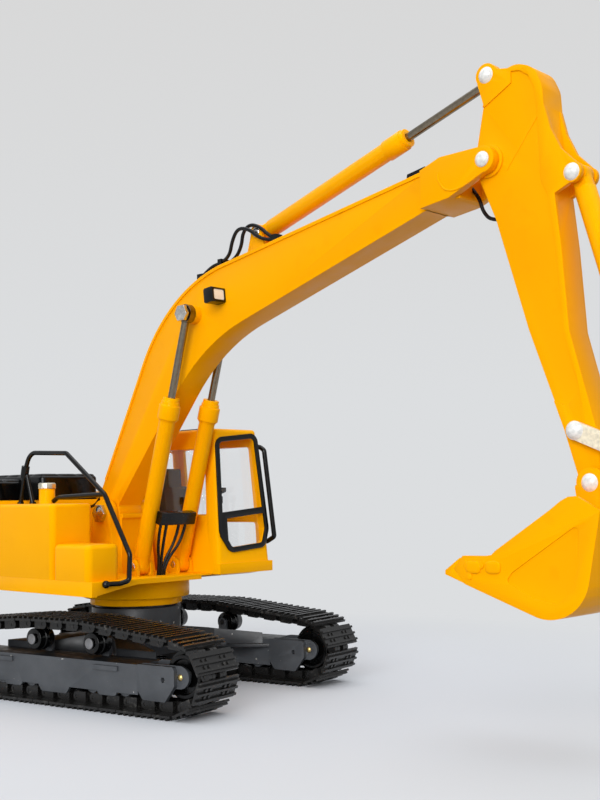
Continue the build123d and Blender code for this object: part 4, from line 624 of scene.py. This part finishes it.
def make_ram_bands():
    """A band round each boom ram: radius r(s) along its axis, with quarter-round shoulders."""
    foot, head = np.array((10.3, 0.0, 32.1)), np.array((29.6, 0.0, 95.9))
    axis = (head - foot) / np.linalg.norm(head - foot)
    side, third = np.array((0.0, 1.0, 0.0)), np.cross((0.0, 1.0, 0.0), axis)
    shoulder = np.linspace(0, math.pi / 2, 5)
    band_start, band_end, band_radius, thickness, ram_y = 39.3, 43.2, 2.38, 0.35, 6.74
    station = np.concatenate([band_start + thickness * (1 - np.cos(shoulder)),
                              band_end - thickness * (1 - np.cos(shoulder[::-1]))])
    radius = band_radius + thickness * np.sin(np.concatenate([shoulder, shoulder[::-1]]))
    turn = np.linspace(0, 2 * math.pi, 40, endpoint=False)
    spoke = np.cos(turn)[:, None] * side + np.sin(turn)[:, None] * third
    rings = foot + station[:, None, None] * axis + radius[:, None, None] * spoke
    both = np.stack([rings + (0, y, 0) for y in (-ram_y, ram_y)])
    faces = capped_tube(rings) + capped_tube(rings, rings.shape[0] * rings.shape[1])
    add_piece("ram_bands", both, faces, ram_plastic, "boom_ram_barrels", smooth_deg=50)


make_top_plate()
make_ram_bands()
nose_loop = [(107.6, 115.9), (107.9, 114.2), (109.1, 112.3), (110.9, 111.5), (113.2, 111.6),
             (115.6, 112.4), (117.2, 113.1)]
add_beads("nose_beads", [nose_loop], 5.9, 0.22, "boom")
pad_centres = [(x, y, z) for x, z in ((118.4, 35.9), (122.9, 36.0)) for y in (-12.0, 12.0)]
pads = pillows(pad_centres, (1.75, 0.42), 1.25, 0.6)
points_each = pads[0].shape[0] * pads[0].shape[1]
pad_faces = sum((capped_tube(pad, k * points_each) for k, pad in enumerate(pads)), [])
add_piece("cutter_pads", pads, pad_faces, body_enamel, "bucket", smooth_deg=60)
add_beads("arm_creases", [[(130.0, 122.9), (127.6, 119.9), (125.2, 116.9), (122.6, 113.6)]], 3.2, 0.12, "arm")
print("beads on the nose, the bucket's cutters and the arm")

# %% [markdown]
# ## Hoses
# Hydraulic hoses on a model are soft plastic cords pushed into holes at both ends. A smooth
# curve through a few guide points is how a hose bends, so each one is a NURBS curve of order
# three with a round bevel. The guide points are the same route as the solid hose follows.
# Those that cross a pivot are swept once and fixed in place, riding on no body.

# %% Hoses
def hose_curve(name, routes, diameter):
    """NURBS curves of order three through guide points in millimetres, each swept with a circle."""
    curve = bpy.data.curves.new(name, "CURVE")
    curve.dimensions = "3D"
    curve.bevel_depth = diameter / 2 * mm
    curve.bevel_resolution = 5
    curve.resolution_u = 10
    curve.use_fill_caps = True
    for route in routes:
        spline = curve.splines.new("NURBS")
        spline.points.add(len(route) - 1)
        table = np.column_stack([np.array(route) * mm, np.ones(len(route))])
        spline.points.foreach_set("co", table.ravel())
        spline.order_u = 3
        spline.use_endpoint_u = True
    hose = bpy.data.objects.new(name, curve)
    bpy.context.scene.collection.objects.link(hose)
    return hose


def as_mesh(hose, finish):
    """The swept curve as a mesh piece of its own."""
    bpy.context.view_layer.update()
    mesh = bpy.data.meshes.new_from_object(hose.evaluated_get(bpy.context.evaluated_depsgraph_get()))
    name = hose.name
    bpy.data.objects.remove(hose)
    piece = bpy.data.objects.new(name, mesh)
    mesh.name = name
    mesh.polygons.foreach_set("use_smooth", np.ones(len(mesh.polygons), bool))
    mesh.materials.clear()
    mesh.materials.append(finish)
    bpy.context.scene.collection.objects.link(piece)
    return piece


def add_crossing_hoses(node, routes, diameter=0.8):
    """Hoses that cross a pivot, swept once and fixed in place, taking the place of a solid node."""
    hoses = as_mesh(hose_curve(node + "_soft", routes, diameter), hose_black)
    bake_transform(hoses)
    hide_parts(node)


feed_route = [(-20.5, -1.5, 47.4), (-17.6, -1.5, 47.6), (-14.6, -1.5, 49.2), (-12.4, -1.5, 52.4),
              (-10.4, -1.5, 55.9), (-8.3, -1.5, 58.9), (-5.6, -1.5, 60.6)]
arm_route = [(111.4, 0.9, 113.0), (113.2, 0.9, 110.8), (114.0, 0.9, 107.6), (116.2, 0.9, 105.3),
             (119.8, 0.9, 105.2)]
ram_routes = [
    [(13.6, port, 29.9), (14.0, port, 33.1), (15.55, along, 38.76), (16.86, along, 43.07)]
    for along, port in ((-5.2, -3.55), (-3.3, -2.9), (0.8, -2.3), (3.0, -1.65))
]
add_crossing_hoses("boom_feed_hose", [feed_route])
add_crossing_hoses("arm_hose", [arm_route])
add_crossing_hoses("manifold_hoses", ram_routes)
print("hoses across a pivot: one at the engine, one at the arm,", len(ram_routes), "at the boom rams")

boom_routes = {
    "boom_hose_inner": [(29.6, -0.4, 105.6), (33.4, -0.4, 107.4), (37.4, -0.4, 108.1),
                        (41.6, -1.0, 108.9), (45.0, -2.2, 111.2), (46.8, -3.4, 114.2),
                        (49.8, -3.9, 115.6), (53.2, -3.8, 114.4), (55.6, -3.0, 111.8),
                        (57.6, -2.2, 111.0)],
    "boom_hose_outer": [(29.6, -1.8, 105.6), (33.4, -1.9, 107.9), (37.4, -1.8, 108.3),
                        (41.2, -2.6, 109.6), (43.6, -4.0, 112.6), (46.6, -4.9, 115.0),
                        (50.4, -4.9, 114.2), (53.0, -4.2, 111.8), (55.8, -3.2, 110.8),
                        (57.6, -3.2, 110.9)],
}
for name, route in boom_routes.items():
    hose = hose_curve(name, [route], 0.9)
    hose.data.materials.append(hose_black)
    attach(hose, "boom")
    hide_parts("boom_hoses")

# %% [markdown]
# ## A pale table and soft light
# A small model is best lit as a shop would light it: a wide soft box overhead, a second one
# from the viewer's side, and a pale surround that fills the shadows. The surround seen by
# the camera, and through clear plastic, is a pale grey of its own, so that the light on
# the model can stay at a plain level.

# %% Floor, surround and lamps
backdrop_grey = srgb(220, 222, 224)


def add_surround():
    """The world: a plain fill light, and a pale grey where the camera or clear plastic looks at it."""
    world = bpy.data.worlds.new("surround")
    world.use_nodes = True
    tree = world.node_tree
    tree.nodes.clear()

    def node(kind, inputs=(), **settings):
        made = tree.nodes.new(kind)
        for key, value in settings.items():
            setattr(made, key, value)
        for key, value in dict(inputs).items():
            if hasattr(value, "is_output"):
                tree.links.new(value, made.inputs[key])
            else:
                made.inputs[key].default_value = value
        return made.outputs[0]

    rays = tree.nodes.new("ShaderNodeLightPath").outputs
    seen = node("ShaderNodeMath", {0: rays["Is Camera Ray"], 1: rays["Is Transmission Ray"]},
                operation="MAXIMUM")
    direction = tree.nodes.new("ShaderNodeTexCoord").outputs["Generated"]
    height = tree.nodes.new("ShaderNodeSeparateXYZ")
    tree.links.new(direction, height.inputs[0])
    climb = node("ShaderNodeMapRange", {"Value": height.outputs["Z"], "From Min": 0.08, "From Max": 0.42})
    hue = tree.nodes.new("ShaderNodeMix")
    hue.data_type = "RGBA"
    tree.links.new(climb, hue.inputs[0])
    hue.inputs[6].default_value = backdrop_grey
    hue.inputs[7].default_value = srgb(216, 216, 216)
    light = node("ShaderNodeBackground", {"Color": (0.95, 0.97, 1.0, 1), "Strength": 0.62})
    pale = node("ShaderNodeBackground", {"Color": hue.outputs[2]})
    either = node("ShaderNodeMixShader", {0: seen, 1: light, 2: pale})
    out = tree.nodes.new("ShaderNodeOutputWorld")
    tree.links.new(either, out.inputs["Surface"])
    bpy.context.scene.world = world


def add_floor():
    """A wide disc: rings of points about the middle, joined into quads. It fades into the surround."""
    turns, rings = 96, np.array([0.0, 0.2, 0.5, 1.0, 2.0, 6.0])
    angle = np.linspace(0, 2 * math.pi, turns, endpoint=False)
    points = np.concatenate([np.stack([r * np.cos(angle), r * np.sin(angle), 0 * angle], 1)
                             for r in rings[1:]])
    ring, step = np.meshgrid(np.arange(len(rings) - 2), np.arange(turns), indexing="ij")
    after = (step + 1) % turns
    quads = np.stack([ring * turns + step, (ring + 1) * turns + step,
                      (ring + 1) * turns + after, ring * turns + after], -1).reshape(-1, 4)
    mesh = bpy.data.meshes.new("table_top")
    mesh.from_pydata(points.tolist(), [], quads.tolist() + [list(range(turns))])
    table_top = bpy.data.objects.new("table_top", mesh)
    bpy.context.scene.collection.objects.link(table_top)
    card = Finish("pale_card", Roughness=0.75, Specular_IOR_Level=0.1)
    paper = card.mix(card.noise(40, 2.0), srgb(168, 169, 172), srgb(165, 166, 169))
    rays = card.node("ShaderNodeLightPath").outputs
    seen = card.maths("MAXIMUM", rays["Is Camera Ray"], rays["Is Glossy Ray"])
    looked_at = card.maths("MAXIMUM", seen, rays["Is Transmission Ray"])
    card.wire(card.mix(looked_at, paper, srgb(206, 209, 214)), "Base Color")
    far = card.node("ShaderNodeVectorMath", {0: card.place}, operation="LENGTH").outputs["Value"]
    fade = card.ramp(far, 0.08, 0.19)
    strength = card.ramp(looked_at, 0, 1, 0.45, 1.0)
    glow = card.node("ShaderNodeEmission", {"Color": backdrop_grey, "Strength": strength})
    blend = card.node("ShaderNodeMixShader", {0: fade})
    card.tree.links.new(card.shader.outputs[0], blend.inputs[1])
    card.tree.links.new(glow.outputs[0], blend.inputs[2])
    card.tree.links.new(blend.outputs[0], card.tree.nodes["Material Output"].inputs["Surface"])
    mesh.materials.append(card.material)


def add_softbox(name, place, size, watts, aim=(0.03, 0, 0.06)):
    """A square area lamp that looks at a point of the model."""
    lamp = bpy.data.lights.new(name, "AREA")
    lamp.energy = watts
    lamp.size = size
    softbox = bpy.data.objects.new(name, lamp)
    softbox.location = place
    softbox.rotation_euler = (Vector(aim) - Vector(place)).to_track_quat("-Z", "Y").to_euler()
    bpy.context.scene.collection.objects.link(softbox)


add_surround()
add_floor()
add_softbox("overhead", (0.05, 0.02, 0.80), 0.9, 3.4)
add_softbox("viewer_side", (0.45, -0.78, 0.34), 0.6, 6.4)
bpy.context.scene.view_settings.view_transform = "Standard"
print("two soft boxes, a surround and a table")
